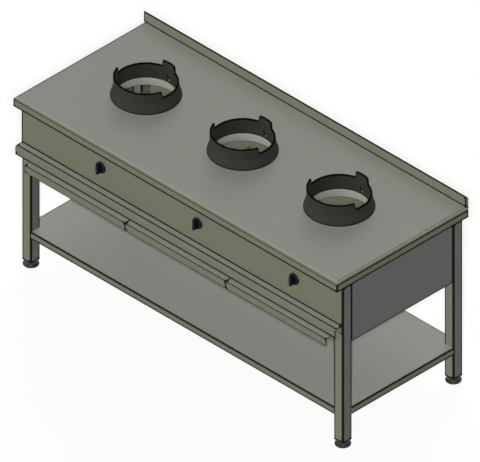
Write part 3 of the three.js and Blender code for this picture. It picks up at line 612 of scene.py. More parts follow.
# Each finish: how it is made, its name, the user's colour, and the numbers that its maker takes:
# the brushing's axis, the sand grain and bloom, the roughness, or roughness, texture and gloss.
FINISHES = {
    # The steels below are one brushed stainless in painted light and shade: top and shelf lit, panel, side
    # and tube shaded.
    "top": (brushed_stainless, "brushed_stainless_worktop", "top_steel", "x"),
    "shelf": (brushed_stainless, "brushed_stainless_shelf", "shelf_steel", "x"),
    "panel": (brushed_stainless, "brushed_stainless_panel", "panel_steel", "x"),
    "side": (brushed_stainless, "brushed_stainless_side", "side_steel", "y"),
    "tube": (brushed_stainless, "brushed_stainless_tube", "tube_steel", "z"),
    "ring": (sand_cast_iron, "seasoned_cast_iron", "ring_iron", 4.0, 0.45),
    "burner": (sand_cast_iron, "bare_cast_iron", "burner_iron", 3.0, 0.6),
    "brass": (turned_metal, "turned_brass", "brass", 0.3),
    "pipe": (turned_metal, "drawn_steel_pipe", "pipe_steel", 0.4),
    "knob": (moulded_plastic, "moulded_phenolic", "knob_plastic", 0.3, 1.5, 0.12),
    "foot": (moulded_plastic, "moulded_nylon", "foot_plastic", 0.42, 2.0, 0.3),
}


def finished(key):
    """The finish of that plain name, made when it is first asked for."""
    make, name, chosen, *rest = FINISHES[key]
    base = tuple(getattr(bpy.context.scene.wok_range_finishes, chosen))
    return bpy.data.materials.get(name) or make(name, base, *rest)


# ------------------------------------------------------------------ from arrays to pieces


def put_piece(
    name, node, shells, finish, lines=(), smooth=38, shaded_flanks=None, axis="z", body="frame"
):
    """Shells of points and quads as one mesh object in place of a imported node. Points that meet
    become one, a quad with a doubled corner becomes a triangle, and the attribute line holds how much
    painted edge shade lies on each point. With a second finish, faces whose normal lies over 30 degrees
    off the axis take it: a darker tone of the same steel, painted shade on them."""
    points = np.concatenate([shell[0] for shell in shells])
    starts = np.cumsum([0] + [len(shell[0]) for shell in shells])
    quads = np.concatenate([shell[1] + start for shell, start in zip(shells, starts)])
    apart = np.repeat(np.arange(len(shells)), np.diff(starts)) * 100.0
    first, back = merge_map(np.column_stack([points, apart]))
    points, quads = points[first], back[quads]
    doubled = quads == np.roll(quads, -1, axis=1)
    sides = 4 - doubled.sum(axis=1)
    crossed = (quads[:, 0] == quads[:, 2]) | (quads[:, 1] == quads[:, 3])
    good = (sides > 2) & ~crossed
    quads, doubled, sides = quads[good], doubled[good], sides[good]
    corners = quads[~doubled]
    mesh = bpy.data.meshes.new(name)
    mesh.vertices.add(len(points))
    mesh.vertices.foreach_set("co", points.astype(np.float32).ravel())
    mesh.loops.add(len(corners))
    mesh.loops.foreach_set("vertex_index", corners.astype(np.int32))
    mesh.polygons.add(len(sides))
    mesh.polygons.foreach_set("loop_start", (np.cumsum(sides) - sides).astype(np.int32))
    mesh.update(calc_edges=True)
    mesh.validate()
    mesh.shade_smooth()
    mesh.set_sharp_from_angle(angle=math.radians(smooth))
    attribute = mesh.attributes.new("line", "FLOAT", "POINT")
    coordinates = np.empty(len(mesh.vertices) * 3, np.float32)
    mesh.vertices.foreach_get("co", coordinates)
    attribute.data.foreach_set("value", painted_edge_shade(coordinates.reshape(-1, 3), list(lines)))
    piece = bpy.data.objects.new(name, mesh)
    bpy.context.scene.collection.objects.link(piece)
    mesh.materials.append(finished(finish))
    # Those faces take a darker tone of the same steel: painted shade on the faces that get less light.
    if shaded_flanks:
        mesh.materials.append(finished(shaded_flanks))
        normals = np.empty(len(mesh.polygons) * 3, np.float32)
        mesh.polygons.foreach_get("normal", normals)
        steep = abs(normals.reshape(-1, 3)[:, "xyz".index(axis)]) < math.cos(math.radians(30))
        mesh.polygons.foreach_set("material_index", steep.astype(np.int32))
    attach(piece, body)
    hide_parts(node)


def finish_node(name, finish):
    """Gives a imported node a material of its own."""
    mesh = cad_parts[name].data
    mesh.materials.clear()
    mesh.materials.append(finished(finish))


# ------------------------------------------------------------------ operators, one for each kind of piece


class WOKRANGE_OT_worktop(bpy.types.Operator):
    """Make the folded worktop with its three openings"""

    bl_idname = "wok_range.worktop"
    bl_label = "Worktop"

    def execute(self, context):
        s = sizes()
        b, (x0, y0, z0), (x1, y1, z1) = s.top_bend, *span("worktop")
        depths = ((z1 - z0, z1 - z0),) * 2
        holes = [(x, y, s.opening, s.opening + 24 * MM, 28) for x, y in burner_centres()]
        bends = ((b, b), (b, s.sheet_bend))
        shell = folded_pan((x0, y0), (x1, y1), depths, bends, s.sheet, (0, 0, z1), "xyz", holes=holes)
        # Dark lines painted along the lower edges, the corners and the bends as painted shade, and along
        # the rear edge, a dark joint with the upstand.
        lines = box_edges((x0, y0, z0), (x1, y1, z0), 1.3)
        lines += [((x, y, z0), (x, y, z1 - b), 1.0) for x in (x0, x1) for y in (y0, y1)]
        lines += [((x0, y0, z1 - b), (x1, y0, z1 - b), 0.68), ((x0, y1, z1), (x1, y1, z1), 0.8)]
        lines += [((x, y0, z1 - b), (x, y1, z1 - b), 0.78) for x in (x0, x1)]
        lines += [((x, y0 + b, z1), (x, y1, z1), 0.64) for x in (x0 + b, x1 - b)]
        put_piece(
            "worktop_sheet", "worktop", [shell], "top", lines, shaded_flanks="panel"
        )
        return {"FINISHED"}


class WOKRANGE_OT_upstand(bpy.types.Operator):
    """Make the hemmed upstand along the rear edge"""

    bl_idname = "wok_range.upstand"
    bl_label = "Upstand"

    def execute(self, context):
        s = sizes()
        (x0, y0, z0), (x1, y1, z1) = span("rear_upstand")
        end = x1 - s.top_bend
        hem = eased([[y1, z0], [y1, z1], [y0, z1], [y0, z0]], (y1 - y0) * 0.45, closed=False)
        shell = folded_strip(hem, s.sheet * 0.6, x0, x1, "yzx", marks=[end])
        # Dark lines painted along the foot, a dark joint with the worktop, and along the top edge and ends
        # as painted shade.
        lines = [((x0, y0, z1), (end, y0, z1), 1.0), ((x0, y0, z0), (x1, y0, z0), 1.1)]
        lines += [((x, y0, z0), (x, y0, z1), 0.95) for x in (x0, end)]
        put_piece("upstand_hem", "rear_upstand", [shell], "tube", lines)
        return {"FINISHED"}


class WOKRANGE_OT_legs(bpy.types.Operator):
    """Make the four square tube legs"""

    bl_idname = "wok_range.legs"
    bl_label = "Legs"

    def execute(self, context):
        s = sizes()
        dark_line_z = span("worktop")[0][2] - SHADE_LINE_DROP
        for corner in CORNERS:
            low, high = span(f"leg_{corner}")
            (x0, y0, z0), (x1, y1, z1) = low, high
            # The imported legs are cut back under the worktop's end bends, so these stop short of it.
            top = z1 - 1.5 * MM
            section = eased([[x0, y0], [x1, y0], [x1, y1], [x0, y1]], s.tube_corner)
            shell = folded_strip(section, s.tube_wall, z0, top, "xyz", closed=True, marks=[dark_line_z])
            # Dark lines are painted along the tube's corners and ends, painted shade along its edges, and
            # round the leg just under the worktop's edge, painted shade of the worktop's fold.
            lines = box_edges(low, high, 1.12) + box_edges((x0, y0, dark_line_z), (x1, y1, dark_line_z), 1.1)
            put_piece(
                f"leg_tube_{corner}",
                f"leg_{corner}",
                [shell],
                "tube",
                lines,
                shaded_flanks="side",
                axis="y",
            )
        return {"FINISHED"}


class WOKRANGE_OT_feet(bpy.types.Operator):
    """Make the four levelling feet and finish their plugs"""

    bl_idname = "wok_range.feet"
    bl_label = "Feet"

    def execute(self, context):
        for corner in CORNERS:
            node = f"foot_{corner}"
            low, high = span(node)
            centre = ((low[0] + high[0]) / 2, (low[1] + high[1]) / 2, 0)
            flange, neck, stem = (high[0] - low[0]) / 2, 25 * MM, 8 * MM
            shoulder, top = span(f"leg_plug_{corner}")[0][2] - GAP, high[2]
            section = [[0, 0], [flange - 1.5 * MM, 0], [flange, 2 * MM], [flange, 7 * MM]]
            section += [[flange - 2.5 * MM, 9 * MM], [neck + 1.5 * MM, 10.2 * MM], [neck, 12.5 * MM]]
            section += [[neck, shoulder - 1.2 * MM], [neck - 1.2 * MM, shoulder], [stem, shoulder]]
            section += [[stem, top - 1 * MM], [stem - 1 * MM, top], [0, top]]
            eases = np.array([0, 0.8, 0.9, 1.6, 1.0, 0.8, 1.0, 0.5, 0.5, 0, 0.4, 0.4, 0]) * MM
            shell = turned(eased(section, eases, closed=False), centre, 64, closed=False)
            put_piece(f"levelling_{node}", node, [shell], "foot", body=node)
            finish_node(f"leg_plug_{corner}", "foot")
        return {"FINISHED"}


class WOKRANGE_OT_panels(bpy.types.Operator):
    """Make the control panel, the side panels and the rear panel"""

    bl_idname = "wok_range.panels"
    bl_label = "Panels"

    def execute(self, context):
        s = sizes()
        self.control_panel(s)
        self.side_panel(s, "side_panel_left", 0, "yzX")
        self.side_panel(s, "side_panel_right", 1, "yzx")
        self.back_panel(s)
        return {"FINISHED"}

    def control_panel(self, s):
        """The face lies in X and Z, and its returns run to the rear between the legs."""
        (x0, y0, z0), (x1, y1, z1) = span("control_panel")
        left, right = span("leg_front_left")[1][0] + GAP, span("leg_front_right")[0][0] - GAP
        bend, dark_line_z, far = s.sheet_bend, span("front_rail")[1][2], 1.0
        holes = [
            (middle(f"gas_valve_{p}")[0], span(f"tap_knob_{p}")[0][2] + 26 * MM, 9 * MM, 15 * MM, 6)
            for p in PLACES
        ]
        upright = ((z1 - bend, z1 + far), (z0 - far, z0 + bend))
        beyond = [(*side, *part) for part in upright for side in ((x0 - far, left), (right, x1 + far))]
        shell = folded_pan(
            (x0, z0),
            (x1, z1),
            ((0, 0), (y1 - y0, 22 * MM)),
            ((0, 0), (bend, bend)),
            s.sheet,
            (0, y0, 0),
            "xzY",
            marks=((), (dark_line_z, dark_line_z + s.line_reach)),
            holes=holes,
            notches=beyond,
        )
        lines = box_edges((x0, y0, z0), (x1, y0, z1), 1.1) + [((x0, y0, dark_line_z), (x1, y0, dark_line_z), 0.85)]
        put_piece("control_panel_sheet", "control_panel", [shell], "panel", lines)

    def side_panel(self, s, node, outer, axes):
        """The face lies in Y and Z, and its four walls run towards the inside."""
        low, high = span(node)
        face, depth, pair = (low, high)[outer][0], high[0] - low[0], (s.sheet_bend, s.sheet_bend)
        dark_line_z = span("worktop")[0][2] - SHADE_LINE_DROP
        marks = ((), (dark_line_z - s.line_reach, dark_line_z, dark_line_z + s.line_reach))
        depths, origin = ((depth, depth),) * 2, (face, 0, 0)
        shell = folded_pan(low[1:], high[1:], depths, (pair, pair), s.sheet, origin, axes, marks=marks)
        lines = box_edges((face, *low[1:]), (face, *high[1:]), 1.1)
        # A dark line painted just under the worktop's edge: painted shade of the worktop's fold.
        lines += [((face, low[1], dark_line_z), (face, high[1], dark_line_z), 1.15)]
        put_piece(f"{node}_sheet", node, [shell], "side", lines)

    def back_panel(self, s):
        """The face lies in X and Z with a return along its top and a hole for the gas inlet."""
        (x0, y0, z0), (x1, y1, z1) = span("back_panel")
        inlet = span("gas_manifold")[0][0] + PIPE_RADIUS
        shell = folded_pan(
            (x0, z0),
            (x1, z1),
            ((0, 0), (0, y1 - y0)),
            ((0, 0), (s.sheet_bend, s.sheet_bend)),
            s.sheet,
            (0, y1, 0),
            "xzy",
            holes=[(inlet, middle("gas_manifold")[2], 15 * MM, 22 * MM, 6)],
        )
        lines = box_edges((x0, y1, z0), (x1, y1, z1), 0.9)
        put_piece("back_panel_sheet", "back_panel", [shell], "panel", lines)


class WOKRANGE_OT_rail(bpy.types.Operator):
    """Make the bent front rail"""

    bl_idname = "wok_range.rail"
    bl_label = "Front rail"

    def execute(self, context):
        s = sizes()
        bend, (x0, y0, z0), (x1, y1, z1) = s.rail_bend, *span("front_rail")
        line = eased([[y1, z0], [y0, z0], [y0, z1], [y1, z1]], bend, steps=7, closed=False)
        shell = folded_strip(line, -s.sheet, x0, x1, "yzx")
        # Dark lines painted along the joint with the control panel, a dark joint, and along the bends and
        # ends as painted shade.
        lines = [((x0, y, z1), (x1, y, z1), 0.8) for y in (y1, y0 + bend)]
        lines += [((x0, y0, z0 + bend / 2), (x1, y0, z0 + bend / 2), 1.05)]
        lines += [((x, y0, z0), (x, y0, z1 - bend), 0.85) for x in (x0, x1)]
        lines += [((x, y0 + bend, z1), (x, y1, z1), 0.85) for x in (x0, x1)]
        put_piece(
            "front_rail_channel", "front_rail", [shell], "top", lines, shaded_flanks="panel"
        )
        return {"FINISHED"}


class WOKRANGE_OT_shelf(bpy.types.Operator):
    """Make the folded lower shelf with its rib"""

    bl_idname = "wok_range.shelf"
    bl_label = "Lower shelf"

    def execute(self, context):
        s = sizes()
        (x0, y0, z0), (x1, y1, z1) = span("under_shelf")
        beyond = 20 * MM
        notches = []
        for corner in CORNERS:
            (a0, b0, _), (a1, b1, _) = span(f"leg_{corner}")
            along = (a0 - GAP, a1 + beyond) if "right" in corner else (a0 - beyond, a1 + GAP)
            depth = (b0 - beyond, b1 + GAP) if "front" in corner else (b0 - GAP, b1 + beyond)
            notches.append((*along, *depth))
        depths, pair, low, high = ((z1 - z0, z1 - z0),) * 2, (s.sheet_bend,) * 2, (x0, y0), (x1, y1)
        shell = folded_pan(
            low, high, depths, (pair, pair), s.sheet, (0, 0, z1), "xyz", notches=notches
        )
        left, right = span("leg_front_left")[1][0], span("leg_front_right")[0][0]
        mid, half, top, deep = (y0 + y1) / 2, 1.5 * MM, z1 - s.sheet, 24 * MM
        rib = soft_block((left, mid - half, top - deep), (right, mid + half, top), 0.5 * MM, 0.5 * MM)
        # Dark lines painted along the shelf's edges: painted shade along them.
        lines = box_edges((x0, y0, z0), (x1, y1, z0), 1.1) + box_edges((x0, y0, z1), (x1, y1, z1), 1.0)
        put_piece("lower_shelf_sheet", "under_shelf", [shell, rib], "shelf", lines, shaded_flanks="panel")
        return {"FINISHED"}


class WOKRANGE_OT_trays(bpy.types.Operator):
    """Make the drip trays with their pulls and the runners"""

    bl_idname = "wok_range.trays"
    bl_label = "Drip trays"

    def execute(self, context):
        s = sizes()
        for place in PLACES:
            self.tray(s, f"drip_tray_{place}")
        for name in ("left", "centre_left", "centre_right", "right"):
            self.runner(s, f"tray_runner_{name}")
        return {"FINISHED"}

    def tray(self, s, node):
        """An open pan and, in front of it, a lip that runs forwards and turns down."""
        (x0, y0, z0), (x1, y1, z1) = span(node)
        front, side, bottom = span("leg_front_left")[0][1], 4 * MM, z1 - 32 * MM
        depths, pair = ((z1 - bottom, z1 - bottom),) * 2, (s.sheet_bend, s.sheet_bend)
        low, high, origin = (x0 + side, front), (x1 - side, y1), (0, 0, bottom)
        pan = folded_pan(low, high, depths, (pair, pair), s.sheet, origin, "xyZ")
        line = eased([[front, z1], [y0, z1], [y0, z0]], s.sheet_bend, closed=False)
        lip = folded_strip(line, s.sheet, x0, x1, "yzx")
        # Dark lines painted along the lip's edges: painted shade along them.
        lines = box_edges((x0, y0, z0), (x1, y0, z1), 0.73)
        lines += [((x, y0, z1), (x, front, z1), 0.73) for x in (x0, x1)]
        put_piece(f"{node}_sheet", node, [pan, lip], "shelf", lines, shaded_flanks="panel", body=node)

    def runner(self, s, node):
        """An upright web and a ledge, each a narrow sheet. A runner between two trays has its web in
        the middle, an outer one at its outer side."""
        (x0, y0, z0), (x1, y1, z1) = span(node)
        outer = x0 if "left" in node else x1 - s.sheet
        web = (x0 + x1) / 2 - s.sheet / 2 if x1 - x0 > 30 * MM else outer
        ledge, ease = z0 + s.sheet, 0.4 * MM
        bars = [soft_block((web, y0, ledge), (web + s.sheet, y1, z1), ease, ease)]
        bars.append(soft_block((x0, y0, z0), (x1, y1, ledge), ease, ease))
        put_piece(f"{node}_bar", node, bars, "panel")


class WOKRANGE_OT_rings(bpy.types.Operator):
    """Make the cast wok rings and the flame guards under them"""

    bl_idname = "wok_range.rings"
    bl_label = "Wok rings"

    def execute(self, context):
        s = sizes()
        for place, centre in zip(PLACES, burner_centres()):
            self.ring(s, f"wok_ring_{place}", centre)
            self.guard(s, f"flame_guard_{place}")
        return {"FINISHED"}

    def ring(self, s, node, centre):
        """A section turned about the burner's axis. Above the skirt all heights shrink to the rim's
        height, which falls by the vent depth inside each vent with a smooth step at its ends. The
        cells of the rear slot are left out and its four sides are closed."""
        low, high = span(node)
        spigot, spigot_drop = 129.5 * MM, 6 * MM
        base = low[2] + spigot_drop
        rim, knee = high[2] - base, s.ring_skirt + 4 * MM
        outer, bore, collar = (high[0] - low[0]) / 2, s.ring_collar - s.ring_wall, s.ring_collar

        def skirt(z):
            """The cone's point at height z: its radius runs straight from the foot's to the collar's."""
            return [outer + (collar - outer) * (z - 4 * MM) / (s.ring_skirt - 4 * MM), z]

        slot_top, slot_half = 35 * MM, math.asin(8 * MM / bore)
        section = [[bore, 0], [bore, -5.2 * MM], [bore + 0.8 * MM, -spigot_drop]]
        section += [[spigot - 0.8 * MM, -spigot_drop], [spigot, -5.2 * MM], [spigot, 0]]
        section += [[outer - 1.5 * MM, 0], [outer, 1.2 * MM], [outer, 3.2 * MM], skirt(5 * MM)]
        section += [skirt(slot_top), skirt(s.ring_skirt - 5 * MM)]
        section += [[collar + 0.6 * MM, s.ring_skirt - 1 * MM], [collar, knee], [collar, rim - 8 * MM]]
        section += [[collar, rim - 1.6 * MM], [collar - 0.5 * MM, rim - 0.5 * MM], [collar - 1.6 * MM, rim]]
        section += [[bore + 1.6 * MM, rim], [bore + 0.5 * MM, rim - 0.5 * MM], [bore, rim - 1.6 * MM]]
        section += [[bore, rim - 8 * MM], [bore, knee], [bore, slot_top]]
        section = np.array(section)
        # Rows of the section: where the spigot meets the foot, the foot's edge, the slot's top
        # outside, and the rim's two top rows. Row 0 is the bore at the slot's lower end.
        heel, edge, roof, crest = 5, 7, 10, 17
        rows = len(section)

        quarter, least = math.pi / 2, 0.004
        vents = np.radians([[-16, 71.6], [103.8, 197.6]])
        step = 3.2 * MM / collar
        ends = (vents.ravel()[:, None] + np.linspace(-1, 1, 9)[None] * step).ravel()
        slot = [quarter - slot_half, quarter + slot_half]
        angles = np.concatenate([np.arange(160) * TAU / 160, ends, slot])
        angles = np.unique(np.round(np.mod(angles, TAU), 6))
        slot = np.round(slot, 6)
        gaps = np.diff(angles, append=angles[0] + TAU)
        angles = angles[(gaps > least) | np.isin(angles, slot)]
        cut = np.zeros(len(angles))
        for start, end in vents:
            to_start = np.mod(angles - start + math.pi, TAU) - math.pi
            to_end = np.mod(end - angles + math.pi, TAU) - math.pi
            inside = (np.mod(angles - start, TAU) < end - start).astype(float)
            near = np.minimum(abs(to_start), abs(to_end)) / step
            t = 0.5 + (inside - 0.5) * np.clip(near, 0, 1)
            cut = np.maximum(cut, t * t * (3 - 2 * t))
        cols = len(angles)
        share = np.clip((section[:, 1] - knee) / (rim - knee), 0, 1)
        height = section[:, 1][:, None] - share[:, None] * s.vent_depth * cut[None, :]
        radius = np.repeat(section[:, :1], cols, axis=1)
        a, b = (radius * np.cos(angles)).ravel(), (radius * np.sin(angles)).ravel()
        points = placed(a, b, height.ravel(), ((low[0] + high[0]) / 2, centre[1], base), "xyz")

        row, col = np.repeat(np.arange(rows), cols), np.tile(np.arange(cols), rows)
        mid = angles + np.diff(angles, append=angles[0] + TAU) / 2
        in_slot = abs(mid[col] - quarter) < slot_half
        cut_rows = ((row >= heel) & (row < roof)) | (row == rows - 1)
        quads = grid_quads(rows, cols, wrap_rows=True, wrap_cols=True)[~(in_slot & cut_rows)]
        first, last = [int(np.argmin(abs(angles - end))) for end in slot]
        between = np.arange(first, last)
        closing = []
        for inner, outer_row, flip in ((rows - 1, roof, -1), (0, heel, 1)):
            a, b = inner * cols + between, outer_row * cols + between
            closing.append(np.stack([a, a + 1, b + 1, b], axis=1)[:, ::flip])
        for column, flip in ((first, 1), (last, -1)):
            fan = np.array([[0, 5, 6, 7], [0, 7, 8, 9], [0, 9, 10, rows - 1]])
            closing.append((fan * cols + column)[:, ::flip])
        quads = outward(points, np.concatenate([quads, *closing]))

        grid = points.reshape(rows, cols, 3)
        lines = []
        # Dark lines painted round the rim's top and the foot's edge: painted shade along these edges.
        for loop, strength in (((grid[crest] + grid[crest + 1]) / 2, 1.05), (grid[edge], 0.8)):
            lines += [(a, b, strength) for a, b in zip(loop, np.roll(loop, -1, axis=0))]
        shells, slot = [(points, quads)], "ring_cast_iron"
        put_piece(f"{node}_casting", node, shells, "ring", lines, smooth=50, body=node)

    def guard(self, s, node):
        """A flanged sleeve of sheet turned about the burner's axis."""
        low, high = span(node)
        flange, wall, under = (high[0] - low[0]) / 2, s.opening + s.sheet, high[2] - s.sheet
        section = [[s.opening, high[2]], [s.opening, low[2]], [wall, low[2]], [wall, under]]
        section += [[flange, under], [flange, high[2]]]
        eases = np.array([0.6, 0.5, 0.5, 0.6, 0.5, 0.5]) * MM
        shell = turned(eased(section, eases, steps=3), (*middle(node)[:2], 0), 128)
        put_piece(f"{node}_sleeve", node, [shell], "top")


class WOKRANGE_OT_burners(bpy.types.Operator):
    """Make the burner heads, mixing tubes, pilots and beams"""

    bl_idname = "wok_range.burners"
    bl_label = "Burners"

    def execute(self, context):
        for place, centre in zip(PLACES, burner_centres()):
            self.head(f"burner_head_{place}")
            self.mixing_tube(f"mixing_tube_{place}", *centre)
            self.pilot(f"pilot_burner_{place}")
        for name in ("front", "rear"):
            self.beam(f"burner_beam_{name}")
        return {"FINISHED"}

    def head(self, node):
        """A hollow crown turned about the burner's axis. Two rows of flame ports are dents in the
        crown: its height falls by the port depth where the wave cos(count t) passes a limit."""
        low, high = span(node)
        radius, drop, wall = (high[0] - low[0]) / 2, -(high[2] - low[2]), 6 * MM
        body, neck = drop + 14 * MM, 26 * MM
        section = [[0, -1.5 * MM], [9 * MM, -1.5 * MM], [12 * MM, 0]]
        section += [[r * MM, 0] for r in (16, 22, 24, 26, 28, 33, 38, 43, 45, 47, 51, 53, 55, 57, 58.5)]
        section += [[radius - 1.8 * MM, -1.5 * MM], [radius, -wall], [radius, body + wall]]
        section += [[radius - wall, body], [neck, body], [neck, drop], [neck - wall, drop]]
        section += [[neck - wall, body + wall], [radius - wall, body + 2 * wall]]
        section += [[radius - wall, -2 * wall], [radius - 2 * wall, -wall], [0, -wall]]

        def ports(r, h, t):
            """The heights, lowered by the port depth in the two rows' radii and waves."""
            port_depth, crown = 4 * MM, h > -1 * MM
            outer = (r > 50 * MM) & (r < 56 * MM) & (np.cos(36 * t) > 0.25) & crown
            inner = (r > 23 * MM) & (r < 27 * MM) & (np.cos(18 * t) > 0.35) & crown
            return r, np.where(outer | inner, -port_depth, h)

        shell = turned(section, (*middle(node)[:2], high[2]), 288, closed=False, shape=ports)
        put_piece(f"{node}_casting", node, [shell], "burner", smooth=45)

    def mixing_tube(self, node, x, y):
        """The cast tube along Y, its riser to the burner's neck, its two seats and a beaded mouth."""
        low, high = span(node)
        axis = span("burner_beam_rear")[1][2] + TUBE_RISE
        start, end, top = low[1], high[1], high[2]
        bead, pipe, mouth, neck = 24 * MM, 22 * MM, 20 * MM, 26 * MM
        profile = [[0, start], [21 * MM, start], [bead, start + 1.5 * MM], [bead, start + 7 * MM]]
        profile += [[mouth, start + 8 * MM], [mouth, start + 36 * MM], [bead, start + 37 * MM]]
        profile += [[bead, start + 44 * MM], [pipe, start + 52 * MM], [pipe, end - 40 * MM]]
        profile += [[bead, end - 30 * MM], [bead, end - 5 * MM], [17 * MM, end], [0, end]]
        line = eased(profile, 1.2 * MM, steps=3, closed=False)
        riser = [[0, axis], [neck, axis], [neck, top - 6 * MM], [neck, top], [0, top]]
        shells = [turned(line, (x, 0, axis), 48, "xZy", closed=False)]
        shells.append(turned(riser, (x, y, 0), 48, closed=False))
        for beam in ("front", "rear"):
            mid, half = middle(f"burner_beam_{beam}")[1], 18 * MM
            seat_high = (x + half, mid + half, axis - 8 * MM)
            shells.append(soft_block((x - half, mid - half, low[2]), seat_high, 3 * MM, 1.5 * MM))
        for side in (-1, 1):
            port = np.array([x + side * mouth - 0.6 * MM, start + 10 * MM, axis - 8 * MM])
            port_high = port + np.array([1.2, 24, 16]) * MM
            shells.append(soft_block(port, port_high, 2 * MM, 0.5 * MM, "yzx"))
        put_piece(f"{node}_casting", node, shells, "burner")

    def pilot(self, node):
        """A square post with a round brass tip."""
        low, high = span(node)
        neck, top, wide = high[2] - 14 * MM, high[2], 5 * MM
        post = soft_block(low, (*high[:2], neck), 1 * MM, 0.8 * MM)
        tip = [[0, neck - 2 * MM], [wide, neck - 2 * MM], [wide, top - 5 * MM], [3 * MM, top], [0, top]]
        line = eased(tip, 0.8 * MM, steps=3, closed=False)
        cone = turned(line, (*middle(node)[:2], 0), 32, closed=False)
        put_piece(f"{node}_body", node, [post, cone], "brass")

    def beam(self, node):
        """A channel open underneath, between the side panels."""
        s, (x0, y0, z0), (x1, y1, z1) = sizes(), *span(node)
        line = eased([[y0, z0], [y0, z1], [y1, z1], [y1, z0]], s.sheet_bend, closed=False)
        shell = folded_strip(line, -s.sheet, x0, x1, "yzx")
        put_piece(f"{node}_channel", node, [shell], "panel")


class WOKRANGE_OT_taps(bpy.types.Operator):
    """Make the knobs and the gas taps behind them"""

    bl_idname = "wok_range.taps"
    bl_label = "Gas taps"

    def execute(self, context):
        for place in PLACES:
            self.knob(f"tap_knob_{place}", f"knob_{place}")
            self.valve(f"gas_valve_{place}", middle(f"tap_knob_{place}")[2])
            finish_node(f"valve_plunger_{place}", "brass")
            finish_node(f"valve_spindle_{place}", "pipe")
        return {"FINISHED"}

    def knob(self, node, body):
        """A turned disc with an eased rim, and a grip: a long round-ended outline whose width and
        length shrink by a quarter circle towards its nose."""
        s, (low, high) = sizes(), span(node)
        mid, rear, front, radius = (low + high) / 2, high[1], low[1], (high[0] - low[0]) / 2
        disc, dish = rear - s.knob_disc, 0.6 * MM
        section = [[0, rear], [radius - 1 * MM, rear], [radius, rear - 1 * MM], [radius, disc + 2 * MM]]
        section += [[radius - 2 * MM, disc], [radius - 6 * MM, disc - dish], [0, disc - dish]]
        eases = np.array([0, 0.6, 0.6, 1.4, 1.4, 0.6, 0]) * MM
        line = eased(section, eases, closed=False)
        plate = turned(line, (mid[0], 0, mid[2]), 72, "xZy", closed=False)
        wide, tall, nose = s.knob_grip / 2, 23.5 * MM, 3 * MM
        t = np.arange(64) * TAU / 64
        upper = np.where(np.sin(t) >= 0, 1.0, -1.0)
        turns = np.linspace(0, math.pi / 2, 6)[1:]
        insets = np.concatenate([[0, 0, 0], nose * (1 - np.cos(turns))])
        levels = [[rear - 3 * MM, disc - 4 * MM, front + nose], front + nose * (1 - np.sin(turns))]
        outlines = []
        for inset in insets:
            r = wide - inset
            outlines.append(np.stack([r * np.cos(t), r * np.sin(t) + upper * (tall - wide)], axis=1))
        grip = lofted(outlines, np.concatenate(levels), (mid[0], 0, mid[2]), "xzy")
        shells = [plate, grip]
        put_piece(f"{node}_moulding", node, shells, "knob", smooth=48, body=body)

    def valve(self, node, level):
        """A brass body turned about the tap's axis, with a blind bore, and its outlet turned about Z."""
        low, high = span(node)
        mid, front, rear, bottom = (low + high) / 2, low[1], high[1], low[2]
        hex_side, body, waist, bore, stem = 19 * MM, 15 * MM, 13 * MM, 9.3 * MM, 5.3 * MM
        section = [[stem, front], [hex_side, front], [hex_side, front + 4 * MM], [waist, front + 5 * MM]]
        section += [[waist, front + 9 * MM], [body, front + 10 * MM], [body, front + 26 * MM]]
        section += [[14 * MM, front + 27 * MM], [14 * MM, rear - 12 * MM], [body, rear - 11 * MM]]
        section += [[body, rear], [0, rear], [0, front + 42 * MM], [bore, front + 42 * MM]]
        section += [[bore, front + 4 * MM], [stem, front + 4 * MM]]
        top = level - 12 * MM
        nipple = [[0, bottom], [7.4 * MM, bottom], [8 * MM, bottom + 1 * MM], [8 * MM, top], [0, top]]
        shells = [turned(section, (mid[0], 0, level), 48, "xZy")]
        shells.append(turned(nipple, (mid[0], front + OUTLET, 0), 32, closed=False))
        put_piece(f"{node}_body", node, shells, "brass")


